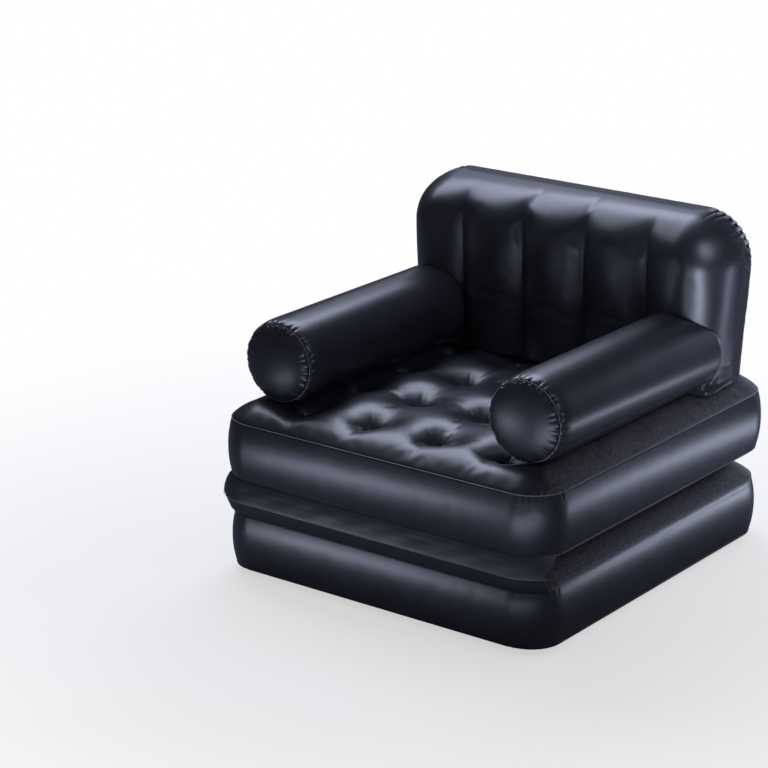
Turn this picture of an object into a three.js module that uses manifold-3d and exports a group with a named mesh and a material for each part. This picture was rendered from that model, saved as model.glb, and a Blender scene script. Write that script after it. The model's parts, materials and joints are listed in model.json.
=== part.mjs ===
// Inflatable lounge chair that unfolds into a single bed, in millimetres.
// +Z is up and the front faces -Y. The origin lies on the floor under the middle of the seat.
// Every air chamber is built as its maker welds it: separate sheets of thin vinyl laminate, held
// in shape by coil tubes in the two flat sections and by upright webs in the backrest.
import * as THREE from 'three';
import Module from 'manifold-3d';
import { mergeVertices } from 'three/addons/utils/BufferGeometryUtils.js';

const wasm = await Module();
wasm.setup();

// Skin and welds
const skin = 0.5;
const weldGap = 0.3;
const weldTab = 10;
const cutOverrun = 6;

// Plan of the two air sections, along their weld seams
const seamWidth = 950;
const seamDepth = 1024;
const cornerRadius = 90;
const cornerSteps = 4;
const bandBulge = 10;

// Heights of the four seams above the floor, and of the seat's crown above its top seam
const baseBottomSeam = 20;
const baseTopSeam = 159;
const seatBottomSeam = 244;
const seatTopSeam = 392;
const seatCrown = 39;

// Edge roll of the flat sections' sheets
const rollWidth = 90;
const rollFullnessShare = 0.85;
const rimInset = 10;

// Tufts and the coil tubes welded behind them
const tuftColumns = 4;
const tuftRows = 5;
const tuftEdgeX = 188.5;
const tuftEdgeY = 120;
const tuftMarginX = 45;
const tuftMarginY = 32;
const lipRadius = 52;
const discRadius = 28;
const seatPitDepth = 34;
const innerPitDepth = 30;
const floorPitDepth = 18;
const coilRadius = 25;
const tuftSides = 8;

// Backrest
const backOverhang = 5;
const backTop = 860;
const backCornerRadius = 125;
const backSeamInset = 127;
const backRollWidth = 94;
const backDomeReach = 450;
const backEdgeWidth = 130;
const backFrontDepth = 154;
const backRearDepth = 108;
const backFrontBulge = 22;
const backRearBulge = 10;
const channelPitch = 181;
const channelFade = 70;
const channelEnd = 28;
const backFootInset = 68;
const backFootTaper = 130;

// Arms
const armInset = 118;
const armPress = 6.3;
const armRadius = 105;
const armRimRadius = 96;
const armSetback = 94;
const armShoulder = 45;
const armRearDepth = 95;
const armRearGap = 10.6;
const armDome = 24;
const armSides = 16;
const portRadius = 15;

// Front hinge flap
const flapBulge = 19;
const flapOverlap = 3;

// Air valves: flange, neck, skirt, flap, washer and screw cap
const valveFlangeRadius = 19;
const valveFlangeThickness = 1.2;
const valveNeckRadius = 12;
const valveNeckHeight = 10;
const valveBore = 9;
const valveSkirtRadius = 10.5;
const valveSkirtDepth = 12;
const valveClearance = 0.4;
const spiderWidth = 2;
const spiderThickness = 1.6;
const hubRadius = 3.4;
const flapStemRadius = 1.2;
const flapBarbRadius = 2.1;
const flapBarbLength = 1.2;
const flapThickness = 0.8;
const washerThickness = 1.2;
const capRadius = 15.6;
const capWall = 2;
const capGripDepth = 0.8;
const capGrips = 12;
const valveSides = 16;
const sectionValveInset = 175;

// Shares of the band's height, the flap's height and the backrest's width and height
const bandShares = [0.1, 0.36, 0.64, 0.9];
const bandBulgePowerShare = 2.5;
const flapHeightShares = [0, 0.2, 0.4, 0.62, 0.82, 1];
const flapBulgeShares = [0, 0.55, 0.93, 1, 0.66, 0];
const backEdgeShares = [0, 0.03, 0.12, 0.3, 0.6, 1];
const backOuterShare = 0.5;
const backRowShares = [0, 0.12, 0.42, 0.7, 0.82, 0.91, 0.965, 0.991, 1];
const frontChamberShares = [0.3, 0.7];
const rearChamberShares = [0.36, 0.64];
const valleyShares = [-1.5, -0.5, 0.5, 1.5];
const webRows = [1, 2, 3, 4];
const domeRadiusShares = [0.78, 0.45];
const domeHeightShares = [0.5, 0.88];
const rearDiscShares = [0.84, 0.5];
const backValveShare = 0.229;
const backValveLift = 1;

// Derived heights and places
const sectionsMeet = (baseTopSeam + seatBottomSeam) / 2;
const innerCrown = sectionsMeet - baseTopSeam - weldGap / 2;
const seatSurface = seatTopSeam + seatCrown;
const panelUnderside = seatSurface + weldGap;
const backFoot = panelUnderside + skin + weldGap;
const halfX = seamWidth / 2;
const halfY = seamDepth / 2;
const perCorner = cornerSteps + 1;
const tuftPitchX = (seamWidth - 2 * tuftEdgeX) / (tuftColumns - 1);
const tuftPitchY = (seamDepth - 2 * tuftEdgeY) / (tuftRows - 1);
const sectionValveX = sectionValveInset - halfX;
const backSeamY = halfY - backSeamInset;
const backReach = halfX + backOverhang;
const backValveHeight = backFoot + backValveShare * (backTop - backFoot);
const armX = halfX - armInset;
const armHeight = seatSurface + weldGap + armRadius - armPress;
const armFrontY = armSetback - halfY;
const armRearY = backSeamY - armRearDepth;

const vinyl = { color: 0x1d1d23, roughness: 0.36, metalness: 0 };
const innerVinyl = { color: 0x2a2a30, roughness: 0.6, metalness: 0 };
const valvePlastic = { color: 0x17171b, roughness: 0.42, metalness: 0 };
const sealRubber = { color: 0x3a3a3e, roughness: 0.8, metalness: 0 };

const chair = new THREE.Group();

function place(parent, name, geometry, finish) {
  const mesh = new THREE.Mesh(geometry, new THREE.MeshStandardMaterial(finish));
  mesh.name = name;
  parent.add(mesh);
  return mesh;
}

// A closed skin, gathered ring by ring. Rings run anticlockwise and are joined in one sense
// throughout, and the whole is turned to face out by the sign of its volume.
class Skin {
  constructor() {
    this.points = [];
    this.faces = [];
  }

  add(point) {
    this.points.push(point);
    return this.points.length - 1;
  }

  ring(points) {
    return points.map((point) => this.add(point));
  }

  quad(a, b, c, d) {
    this.faces.push([a, b, c], [a, c, d]);
  }

  strip(inner, outer) {
    inner.forEach((start, i) => {
      const next = (i + 1) % inner.length;
      this.quad(start, outer[i], outer[next], inner[next]);
    });
  }

  // The same strip facing the other way, split along the same diagonals
  lining(inner, outer) {
    inner.forEach((start, i) => {
      const next = (i + 1) % inner.length;
      this.quad(start, inner[next], outer[next], outer[i]);
    });
  }

  // Joins two rings of unlike counts round a centre, in the order of their angles
  zip(inner, outer, [x, y]) {
    const sorted = (ring) => ring
      .map((index) => {
        const [px, py] = this.points[index];
        return { index, angle: Math.atan2(py - y, px - x) };
      })
      .sort((a, b) => a.angle - b.angle);
    const [near, far] = [sorted(inner), sorted(outer)];
    const pick = (ring, k) => ring[k % ring.length].index;
    const angle = (ring, k) => (
      ring[k % ring.length].angle + 2 * Math.PI * Math.floor(k / ring.length)
    );
    let [i, j] = [0, 0];
    while (i < near.length || j < far.length) {
      const moveFar = j < far.length && angle(far, j + 1) <= angle(near, i + 1);
      if (i === near.length || moveFar) {
        this.faces.push([pick(near, i), pick(far, j), pick(far, j + 1)]);
        j += 1;
      } else {
        this.faces.push([pick(near, i), pick(far, j), pick(near, i + 1)]);
        i += 1;
      }
    }
  }

  fan(ring) {
    for (let i = 1; i < ring.length - 1; i += 1) {
      this.faces.push([ring[0], ring[i], ring[i + 1]]);
    }
  }

  // A copy of all that is made so far, at another height and facing the other way. The result is
  // what to add to an index to find its copy.
  echo(rise) {
    const shift = this.points.length;
    this.points.push(...this.points.map(([x, y, z]) => [x, y, z + rise]));
    this.faces.push(...this.faces.map(([a, b, c]) => [a + shift, c + shift, b + shift]));
    return shift;
  }

  volume() {
    let sum = 0;
    for (const [a, b, c] of this.faces) {
      const [p, q, r] = [this.points[a], this.points[b], this.points[c]];
      sum += p[0] * (q[1] * r[2] - q[2] * r[1]);
      sum += p[1] * (q[2] * r[0] - q[0] * r[2]);
      sum += p[2] * (q[0] * r[1] - q[1] * r[0]);
    }
    return sum;
  }

  geometry() {
    const outward = this.volume() > 0;
    const order = this.faces.flatMap(([a, b, c]) => (outward ? [a, b, c] : [a, c, b]));
    const geometry = new THREE.BufferGeometry();
    geometry.setAttribute('position', new THREE.Float32BufferAttribute(this.points.flat(), 3));
    geometry.setIndex(order);
    return geometry;
  }
}

// Solids for cuts and joins
function toSolid(geometry) {
  const bare = geometry.clone();
  bare.deleteAttribute('normal');
  bare.deleteAttribute('uv');
  const merged = mergeVertices(bare);
  const mesh = new wasm.Mesh({
    numProp: 3,
    vertProperties: new Float32Array(merged.attributes.position.array),
    triVerts: new Uint32Array(merged.index.array),
  });
  mesh.merge();
  return new wasm.Manifold(mesh);
}

function fromSolid(solid) {
  const mesh = solid.getMesh();
  const geometry = new THREE.BufferGeometry();
  geometry.setAttribute('position', new THREE.Float32BufferAttribute(mesh.vertProperties, 3));
  geometry.setIndex(Array.from(mesh.triVerts));
  return geometry;
}

// Cylinder along Y, centred at a point
function borer(radius, length, [x, y, z], sides) {
  return new THREE.CylinderGeometry(radius, radius, length, sides).translate(x, y, z);
}

function cut(geometry, ...tools) {
  return fromSolid(tools.reduce((solid, tool) => solid.subtract(toSolid(tool)), toSolid(geometry)));
}

function join(geometry, ...others) {
  return fromSolid(others.reduce((solid, other) => solid.add(toSolid(other)), toSolid(geometry)));
}

// The plan of a section: a rounded rectangle at the seams, set in or out
function planLoop(inset, z) {
  const radius = cornerRadius - inset;
  const points = [];
  [[1, 1], [-1, 1], [-1, -1], [1, -1]].forEach(([sideX, sideY], corner) => {
    for (let step = 0; step <= cornerSteps; step += 1) {
      const angle = ((corner + step / cornerSteps) * Math.PI) / 2;
      points.push([
        sideX * (halfX - cornerRadius) + radius * Math.cos(angle),
        sideY * (halfY - cornerRadius) + radius * Math.sin(angle),
        z,
      ]);
    }
  });
  return points;
}

// Distance inwards from a rounded outline, for the edge rolls
function insideDistance(x, y, reachX, reachY, radius) {
  const overX = Math.abs(x) - (reachX - radius);
  const overY = Math.abs(y) - (reachY - radius);
  const outside = Math.hypot(Math.max(overX, 0), Math.max(overY, 0));
  return radius - outside - Math.min(Math.max(overX, overY), 0);
}

function bandOut(share) {
  return bandBulge * (1 - Math.abs(2 * share - 1) ** bandBulgePowerShare);
}

// Side band of one section, with a weld tab turned in at both seams
function sideBand(bottomSeam, topSeam) {
  const bottom = bottomSeam + weldGap / 2;
  const top = topSeam - weldGap / 2;
  const bulge = bandShares.map((share) => [-bandOut(share), bottom + share * (top - bottom)]);
  const profile = [
    [weldTab, bottom],
    [0, bottom],
    ...bulge,
    [0, top],
    [weldTab, top],
    [weldTab, top - skin],
    [skin, top - skin],
    ...bulge.map(([inset, z]) => [inset + skin, z]).reverse(),
    [skin, bottom + skin],
    [weldTab, bottom + skin],
  ];
  const band = new Skin();
  const rings = profile.map(([inset, z]) => band.ring(planLoop(inset, z)));
  rings.forEach((ring, i) => band.strip(ring, rings[(i + 1) % rings.length]));
  return band.geometry();
}

function rollHeight(x, y, crown) {
  const inward = insideDistance(x, y, halfX, halfY, cornerRadius);
  const turn = (Math.PI / 2) * Math.min(Math.max(inward, 0) / rollWidth, 1);
  return crown * Math.sin(turn) ** rollFullnessShare;
}

function tuftCentres() {
  const centres = [];
  for (let row = 0; row < tuftRows; row += 1) {
    for (let column = 0; column < tuftColumns; column += 1) {
      const x = (column - (tuftColumns - 1) / 2) * tuftPitchX;
      const y = (row - (tuftRows - 1) / 2) * tuftPitchY;
      centres.push([x, y]);
    }
  }
  return centres;
}

// Grid lines between the tufts: the outermost lie on the edge roll
function tuftLines(count, pitch, reach) {
  const lines = [-reach];
  for (let i = 1; i < count; i += 1) {
    lines.push((i - count / 2) * pitch);
  }
  lines.push(reach);
  return lines;
}

// Sheet of one section. It rises from its seam over the edge roll to a flat crown, and each tuft
// draws it down to the round weld of a coil tube. `up` is 1 for a top sheet and -1 for a bottom one.
function tuftedSheet({ seam, up, crown, pitDepth, lipped }) {
  const sheet = new Skin();
  const linesX = tuftLines(tuftColumns, tuftPitchX, halfX - tuftMarginX);
  const linesY = tuftLines(tuftRows, tuftPitchY, halfY - tuftMarginY);
  const at = (x, y, height) => [x, y, seam + up * height];
  const around = (x, y, radius, height) => {
    const points = [];
    for (let k = 0; k < tuftSides; k += 1) {
      const angle = (2 * Math.PI * k) / tuftSides;
      const [px, py] = [x + radius * Math.cos(angle), y + radius * Math.sin(angle)];
      points.push(at(px, py, height(px, py)));
    }
    return points;
  };

  const nodes = new Map();
  const node = (i, j) => {
    const key = `${i} ${j}`;
    if (!nodes.has(key)) {
      const x = (linesX[Math.floor(i / 2)] + linesX[Math.ceil(i / 2)]) / 2;
      const y = (linesY[Math.floor(j / 2)] + linesY[Math.ceil(j / 2)]) / 2;
      nodes.set(key, sheet.add(at(x, y, rollHeight(x, y, crown))));
    }
    return nodes.get(key);
  };
  tuftCentres().forEach(([x, y], index) => {
    const i = 2 * (index % tuftColumns) + 1;
    const j = 2 * Math.floor(index / tuftColumns) + 1;
    const edge = [[1, 0], [1, 1], [0, 1], [-1, 1], [-1, 0], [-1, -1], [0, -1], [1, -1]]
      .filter(([di, dj]) => lipped || di * dj);
    let ring = edge.map(([di, dj]) => node(i + di, j + dj));
    if (lipped) {
      const lip = sheet.ring(around(x, y, lipRadius, (px, py) => rollHeight(px, py, crown)));
      sheet.zip(lip, ring, [x, y]);
      ring = lip;
    }
    const disc = sheet.ring(around(x, y, discRadius, () => crown - pitDepth));
    sheet.zip(disc, ring, [x, y]);
    sheet.fan(disc);
  });
  const [lastI, lastJ] = [2 * tuftColumns, 2 * tuftRows];
  const step = lipped ? 1 : 2;
  const border = [];
  for (let i = 0; i < lastI; i += step) {
    border.push(node(i, 0));
  }
  for (let j = 0; j < lastJ; j += step) {
    border.push(node(lastI, j));
  }
  for (let i = lastI; i > 0; i -= step) {
    border.push(node(i, lastJ));
  }
  for (let j = lastJ; j > 0; j -= step) {
    border.push(node(0, j));
  }

  const loop = (inset, height) => sheet.ring(planLoop(inset, seam + up * height));
  const rimHeight = rollHeight(halfX - rimInset, 0, crown);
  const under = weldGap / 2;
  const fold = (2 * skin * rimInset) / rimHeight;
  const rim = loop(rimInset, rimHeight);
  sheet.zip(border, rim, [0, 0]);
  const shift = sheet.echo(-up * skin);
  const rings = [
    rim,
    loop(0, under),
    loop(weldTab, under),
    loop(weldTab, under + skin),
    loop(fold, under + skin),
    rim.map((index) => index + shift),
  ];
  rings.slice(1).forEach((ring, i) => sheet.strip(rings[i], ring));
  return sheet.geometry();
}

// Open tube welded between two sheets
function coilTube(bottom, top) {
  const wall = [
    new THREE.Vector2(coilRadius, bottom),
    new THREE.Vector2(coilRadius, top),
    new THREE.Vector2(coilRadius - skin, top),
    new THREE.Vector2(coilRadius - skin, bottom),
    new THREE.Vector2(coilRadius, bottom),
  ];
  return new THREE.LatheGeometry(wall, tuftSides).rotateX(Math.PI / 2);
}

const seatDisc = seatTopSeam + seatCrown - seatPitDepth;
const seatUnderDisc = seatBottomSeam - innerCrown + innerPitDepth;
const baseDisc = baseTopSeam + innerCrown - innerPitDepth;
const baseUnderDisc = floorPitDepth;

const seatSection = new THREE.Group();
const baseSection = new THREE.Group();
chair.add(seatSection, baseSection);

place(seatSection, 'seat_top_sheet', tuftedSheet({
  seam: seatTopSeam, up: 1, crown: seatCrown, pitDepth: seatPitDepth, lipped: true,
}), vinyl);
place(seatSection, 'seat_bottom_sheet', tuftedSheet({
  seam: seatBottomSeam, up: -1, crown: innerCrown, pitDepth: innerPitDepth, lipped: false,
}), vinyl);
tuftCentres().forEach(([x, y], index) => {
  const number = String(index + 1).padStart(2, '0');
  const tube = coilTube(seatUnderDisc + skin + weldGap, seatDisc - skin - weldGap);
  place(seatSection, `seat_coil_${number}`, tube, innerVinyl).position.set(x, y, 0);
});

// The base's coils are one with the sheet that they are welded to
const baseTop = tuftedSheet({
  seam: baseTopSeam, up: 1, crown: innerCrown, pitDepth: innerPitDepth, lipped: false,
});
const baseCoils = tuftCentres().map(([x, y]) => (
  coilTube(baseUnderDisc + skin + weldGap, baseDisc - skin / 2).translate(x, y, 0)
));
place(baseSection, 'base_top_sheet', join(baseTop, ...baseCoils), vinyl);
place(baseSection, 'base_bottom_sheet', tuftedSheet({
  seam: baseBottomSeam, up: -1, crown: baseBottomSeam, pitDepth: floorPitDepth, lipped: true,
}), vinyl);

// Valve that stands on a skin whose outer face is at y. Its parts are turned about Y, outwards.
function airValve(parent, prefix, x, y, z) {
  const flangeFace = weldGap + valveFlangeThickness;
  const neckEnd = flangeFace + valveNeckHeight;
  const turn = (profile) => {
    const points = [...profile, profile[0]].map(([radius, out]) => new THREE.Vector2(radius, out));
    return new THREE.LatheGeometry(points, valveSides);
  };
  const shell = turn([
    [valveBore, -valveSkirtDepth],
    [valveSkirtRadius, -valveSkirtDepth],
    [valveSkirtRadius, weldGap],
    [valveFlangeRadius, weldGap],
    [valveFlangeRadius, flangeFace],
    [valveNeckRadius, flangeFace],
    [valveNeckRadius, neckEnd],
    [valveBore, neckEnd],
  ]);
  const spiderMid = -valveSkirtDepth + spiderThickness / 2;
  const hubBore = flapStemRadius + weldGap;
  const hub = turn([
    [hubBore, -valveSkirtDepth],
    [hubRadius, -valveSkirtDepth],
    [hubRadius, -valveSkirtDepth + spiderThickness],
    [hubBore, -valveSkirtDepth + spiderThickness],
  ]);
  const armReach = (valveBore + valveSkirtRadius) / 2;
  const armStart = (hubBore + hubRadius) / 2;
  const bars = [0, 1, 2, 3].map((quarter) => (
    new THREE.BoxGeometry(armReach - armStart, spiderThickness, spiderWidth)
      .translate((armReach + armStart) / 2, spiderMid, 0)
      .rotateY((quarter * Math.PI) / 2)
  ));
  const stemEnd = -valveSkirtDepth + spiderThickness + weldGap;
  const discTop = -valveSkirtDepth - weldGap;
  const barbStart = new THREE.Vector2(flapBarbRadius, stemEnd);
  const stem = [
    new THREE.Vector2(0, discTop - flapThickness),
    new THREE.Vector2(valveSkirtRadius - weldGap, discTop - flapThickness),
    new THREE.Vector2(valveSkirtRadius - weldGap, discTop),
    new THREE.Vector2(flapStemRadius, discTop),
    new THREE.Vector2(flapStemRadius, stemEnd),
    barbStart,
    new THREE.Vector2(flapStemRadius, stemEnd + flapBarbLength),
    new THREE.Vector2(0, stemEnd + flapBarbLength),
  ];
  const washerStart = neckEnd + weldGap;
  const washer = turn([
    [valveBore, washerStart],
    [valveNeckRadius, washerStart],
    [valveNeckRadius, washerStart + washerThickness],
    [valveBore, washerStart + washerThickness],
  ]);
  const capStart = flangeFace + 2 * weldGap;
  const capInside = washerStart + washerThickness + weldGap;
  const capEnd = capInside + capWall;
  const outline = new THREE.Shape();
  const notches = 2 * capGrips;
  for (let i = 0; i < notches; i += 1) {
    const radius = i % 2 ? capRadius - capGripDepth : capRadius;
    const angle = (2 * Math.PI * i) / notches;
    outline[i ? 'lineTo' : 'moveTo'](radius * Math.cos(angle), radius * Math.sin(angle));
  }
  const body = new THREE.ExtrudeGeometry(outline, { depth: capEnd - capStart, bevelEnabled: false })
    .rotateX(-Math.PI / 2)
    .translate(0, capStart, 0);
  const cavityLength = capInside - capStart + cutOverrun;
  const cavity = borer(
    valveNeckRadius + valveClearance,
    cavityLength,
    [0, capInside - cavityLength / 2, 0],
    valveSides,
  );
  const valve = new THREE.Group();
  valve.position.set(x, y, z);
  parent.add(valve);
  place(valve, `${prefix}_valve_seat`, join(shell, hub, ...bars), valvePlastic);
  place(valve, `${prefix}_valve_flap`, new THREE.LatheGeometry(stem, valveSides), sealRubber);
  place(valve, `${prefix}_valve_washer`, washer, sealRubber);
  place(valve, `${prefix}_valve_cap`, cut(body, cavity), valvePlastic);
}

// Hole in the skin for a valve's skirt
function valveHole(x, y, z) {
  return borer(valveSkirtRadius + valveClearance, 2 * cutOverrun, [x, y, z], valveSides);
}

function bandWithValve(section, prefix, bottomSeam, topSeam) {
  const y = halfY + bandOut(bandShares[1]);
  const z = (bottomSeam + topSeam) / 2;
  const band = cut(sideBand(bottomSeam, topSeam), valveHole(sectionValveX, y, z));
  place(section, `${prefix}_side_band`, band, vinyl);
  airValve(section, prefix, sectionValveX, y, z);
}

bandWithValve(seatSection, 'seat', seatBottomSeam, seatTopSeam);
bandWithValve(baseSection, 'base', baseBottomSeam, baseTopSeam);

// Loose strip of skin across the front, from the seat's bottom seam to the base's top seam
function hingeFlap() {
  const upper = seatBottomSeam + flapOverlap;
  const lower = baseTopSeam - flapOverlap;
  const clear = bandOut(flapOverlap / (baseTopSeam - baseBottomSeam)) + weldGap;
  const profile = flapHeightShares.map((share, i) => (
    [clear + flapBulgeShares[i] * flapBulge, upper + share * (lower - upper)]
  ));
  const wall = profile.map(([out, z]) => [out + skin, z]).reverse();
  const first = 2 * perCorner + cornerSteps / 2;
  const last = 3 * perCorner + cornerSteps / 2;
  const loops = [...profile, ...wall].map(([out, z]) => planLoop(-out, z).slice(first, last + 1));
  const flap = new Skin();
  const rings = loops[0].map((_, column) => flap.ring(loops.map((loop) => loop[column])));
  rings.slice(1).forEach((ring, i) => flap.strip(rings[i], ring));
  const count = profile.length;
  for (let i = 0; i < count - 1; i += 1) {
    const [near, far] = [rings[0], rings[rings.length - 1]];
    const across = 2 * count - 1 - i;
    flap.quad(near[i], near[i + 1], near[across - 1], near[across]);
    flap.quad(far[i], far[across], far[across - 1], far[i + 1]);
  }
  return flap.geometry();
}

place(seatSection, 'hinge_flap', hingeFlap(), vinyl);

// Backrest: a pillow of two sheets that meet on a seam plane across Y. A sheet's height off that
// plane follows an elliptic edge roll, and upright channels swell between the web seams.
const valleys = valleyShares.map((share) => share * channelPitch);
const outerValley = Math.max(...valleys);

function footShare(z) {
  const rise = Math.min(Math.max((z - backFoot) / backFootTaper, 0), 1);
  const narrowest = 1 - backFootInset / (backReach - outerValley);
  return 1 - (1 - narrowest) * (1 - rise) ** 2;
}

function backTopAt(x) {
  const over = Math.abs(x) - (backReach - backCornerRadius);
  if (over <= 0) {
    return backTop;
  }
  return backTop - backCornerRadius + Math.sqrt(Math.max(backCornerRadius ** 2 - over ** 2, 0));
}

function channelSwell(x, z) {
  const past = Math.abs(x) - outerValley;
  const across = past > 0 ? past / (backReach - outerValley) : past / channelPitch + valleys.length;
  const fade = Math.min(Math.max((backTop - channelEnd - z) / channelFade, 0), 1);
  return (1 - (2 * (across % 1) - 1) ** 2) * fade;
}

// Depth of the front sheet off the seam plane: an even roll round the outline
function backFrontAt(x, z) {
  const middle = (backTop + backFoot) / 2;
  const height = Math.max(z - middle, 0);
  const inward = insideDistance(x, height, backReach, backTop - middle, backCornerRadius);
  const share = Math.min(Math.max(inward, 0) / backRollWidth, 1);
  return (backFrontDepth + backFrontBulge * channelSwell(x, z)) * Math.sqrt(1 - (1 - share) ** 2);
}

// Depth of the rear sheet: a slow dome that starts at the outline
function backRearAt(x, z) {
  const side = Math.min(Math.max(1 - (backReach - Math.abs(x)) / backDomeReach, 0), 1);
  const top = Math.min(Math.max(1 - (backTopAt(x) - z) / backDomeReach, 0), 1);
  const dome = Math.sqrt((1 - side ** 3) * (1 - top ** 3));
  return (backRearDepth + backRearBulge * channelSwell(x, z)) * dome;
}

function backColumns(chamberShares) {
  const edge = backEdgeShares.map((share) => backReach - share * backEdgeWidth);
  const roll = edge[edge.length - 1];
  const right = [...edge, outerValley + backOuterShare * (roll - outerValley)];
  const middle = [];
  valleys.forEach((valley, i) => {
    middle.push(valley);
    if (i < valleys.length - 1) {
      middle.push(...chamberShares.map((share) => valley + share * channelPitch));
    }
  });
  return [...right.map((x) => -x), ...middle, ...right.reverse()];
}

// One sheet of the backrest: side -1 is the front, 1 the rear
function backSheet(side, depthAt, chamberShares) {
  const columns = backColumns(chamberShares);
  const sheet = new Skin();
  const grid = columns.map((x) => backRowShares.map((share) => {
    const z = backFoot + share * (backTopAt(x) - backFoot);
    const past = Math.max(Math.abs(x) - outerValley, 0);
    const spread = x - Math.sign(x) * past * (1 - footShare(z));
    const y = backSeamY + side * (weldGap / 2 + depthAt(x, z));
    return new THREE.Vector3(spread, y, z);
  }));
  const [lastColumn, lastRow] = [columns.length - 1, backRowShares.length - 1];
  const pick = (i, j) => grid[Math.min(Math.max(i, 0), lastColumn)][Math.min(Math.max(j, 0), lastRow)];
  const inner = grid.map((column, i) => column.map((point, j) => {
    const along = new THREE.Vector3().subVectors(pick(i + 1, j), pick(i - 1, j));
    const upward = new THREE.Vector3().subVectors(pick(i, j + 1), pick(i, j - 1));
    const normal = along.cross(upward).normalize();
    if (normal.y * side < 0 || (i === 0 || i === lastColumn || j === lastRow)) {
      normal.negate();
    }
    if (i === 0 || i === lastColumn || j === lastRow) {
      const middle = Math.min(point.z, backTop - backCornerRadius);
      const reach = backReach - backCornerRadius;
      const hub = Math.abs(point.x) > reach ? Math.sign(point.x) * reach : point.x;
      normal.set(point.x - hub, 0, point.z - middle);
      if (j === 0) {
        normal.z = 0;
      }
      normal.normalize();
    } else if (j === 0) {
      normal.z = 0;
      normal.normalize();
    }
    return point.clone().addScaledVector(normal, -skin);
  }));
  const index = (table) => table.map((column) => sheet.ring(column.map((point) => point.toArray())));
  const [outside, inside] = [index(grid), index(inner)];
  for (let i = 0; i < lastColumn; i += 1) {
    for (let j = 0; j < lastRow; j += 1) {
      sheet.quad(outside[i][j], outside[i + 1][j], outside[i + 1][j + 1], outside[i][j + 1]);
      sheet.quad(inside[i][j], inside[i][j + 1], inside[i + 1][j + 1], inside[i + 1][j]);
    }
  }
  const edge = (table) => [
    ...table.map((column) => column[0]),
    ...table[lastColumn].slice(1),
    ...table.slice(0, lastColumn).map((column) => column[lastRow]).reverse(),
    ...table[0].slice(1, lastRow).reverse(),
  ];
  sheet.strip(edge(outside), edge(inside));
  return { geometry: sheet.geometry(), grid, inner, columns };
}

const backFront = backSheet(-1, backFrontAt, frontChamberShares);
const backRear = backSheet(1, backRearAt, rearChamberShares);

const portTools = [-armX, armX].map((x) => (
  borer(portRadius, backFrontDepth, [x, backSeamY - backFrontDepth, armHeight], valveSides)
));
place(seatSection, 'backrest_front_sheet', cut(backFront.geometry, ...portTools), vinyl);

const backValveX = -channelPitch;
const backValveY = backSeamY + weldGap / 2 + backValveLift
  + backRearAt(backValveX + (rearChamberShares[0] - 1 / 2) * channelPitch, backValveHeight);
const rearCut = cut(backRear.geometry, valveHole(backValveX, backValveY, backValveHeight));
place(seatSection, 'backrest_rear_sheet', rearCut, vinyl);
airValve(seatSection, 'backrest', backValveX, backValveY, backValveHeight);

// Panel that closes the backrest's chamber where it stands on the seat
function backPanel() {
  const front = backFront.grid.map((column) => column[0]);
  const rear = backRear.grid.map((column) => column[0]).reverse();
  const outline = new THREE.Shape([...front, ...rear].map((point) => new THREE.Vector2(point.x, point.y)));
  return new THREE.ExtrudeGeometry(outline, { depth: skin, bevelEnabled: false })
    .translate(0, 0, panelUnderside);
}

place(seatSection, 'backrest_bottom_panel', backPanel(), vinyl);

// Upright web between the two sheets' valleys, with room for air above and below
function backWeb(valley) {
  const line = ({ inner, columns }, side) => {
    const column = inner[columns.indexOf(valley)];
    return webRows.map((row) => new THREE.Vector2(column[row].y - side * weldGap, column[row].z));
  };
  const outline = new THREE.Shape([...line(backFront, -1), ...line(backRear, 1).reverse()]);
  return new THREE.ExtrudeGeometry(outline, { depth: skin, bevelEnabled: false })
    .translate(0, 0, -skin / 2)
    .rotateY(Math.PI / 2)
    .rotateX(Math.PI / 2)
    .translate(valley, 0, 0);
}

valleys.forEach((valley, i) => {
  place(seatSection, `backrest_web_${i + 1}`, backWeb(valley), innerVinyl);
});

// Where the backrest's front face lies behind a point of an arm
function backFaceBehind(x, z) {
  const size = Math.abs(x);
  const spread = size > outerValley ? outerValley + (size - outerValley) / footShare(z) : size;
  const face = backSeamY - backFrontAt(Math.min(spread, backReach), z);
  return Math.min(face - armRearGap, armRearY);
}

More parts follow.
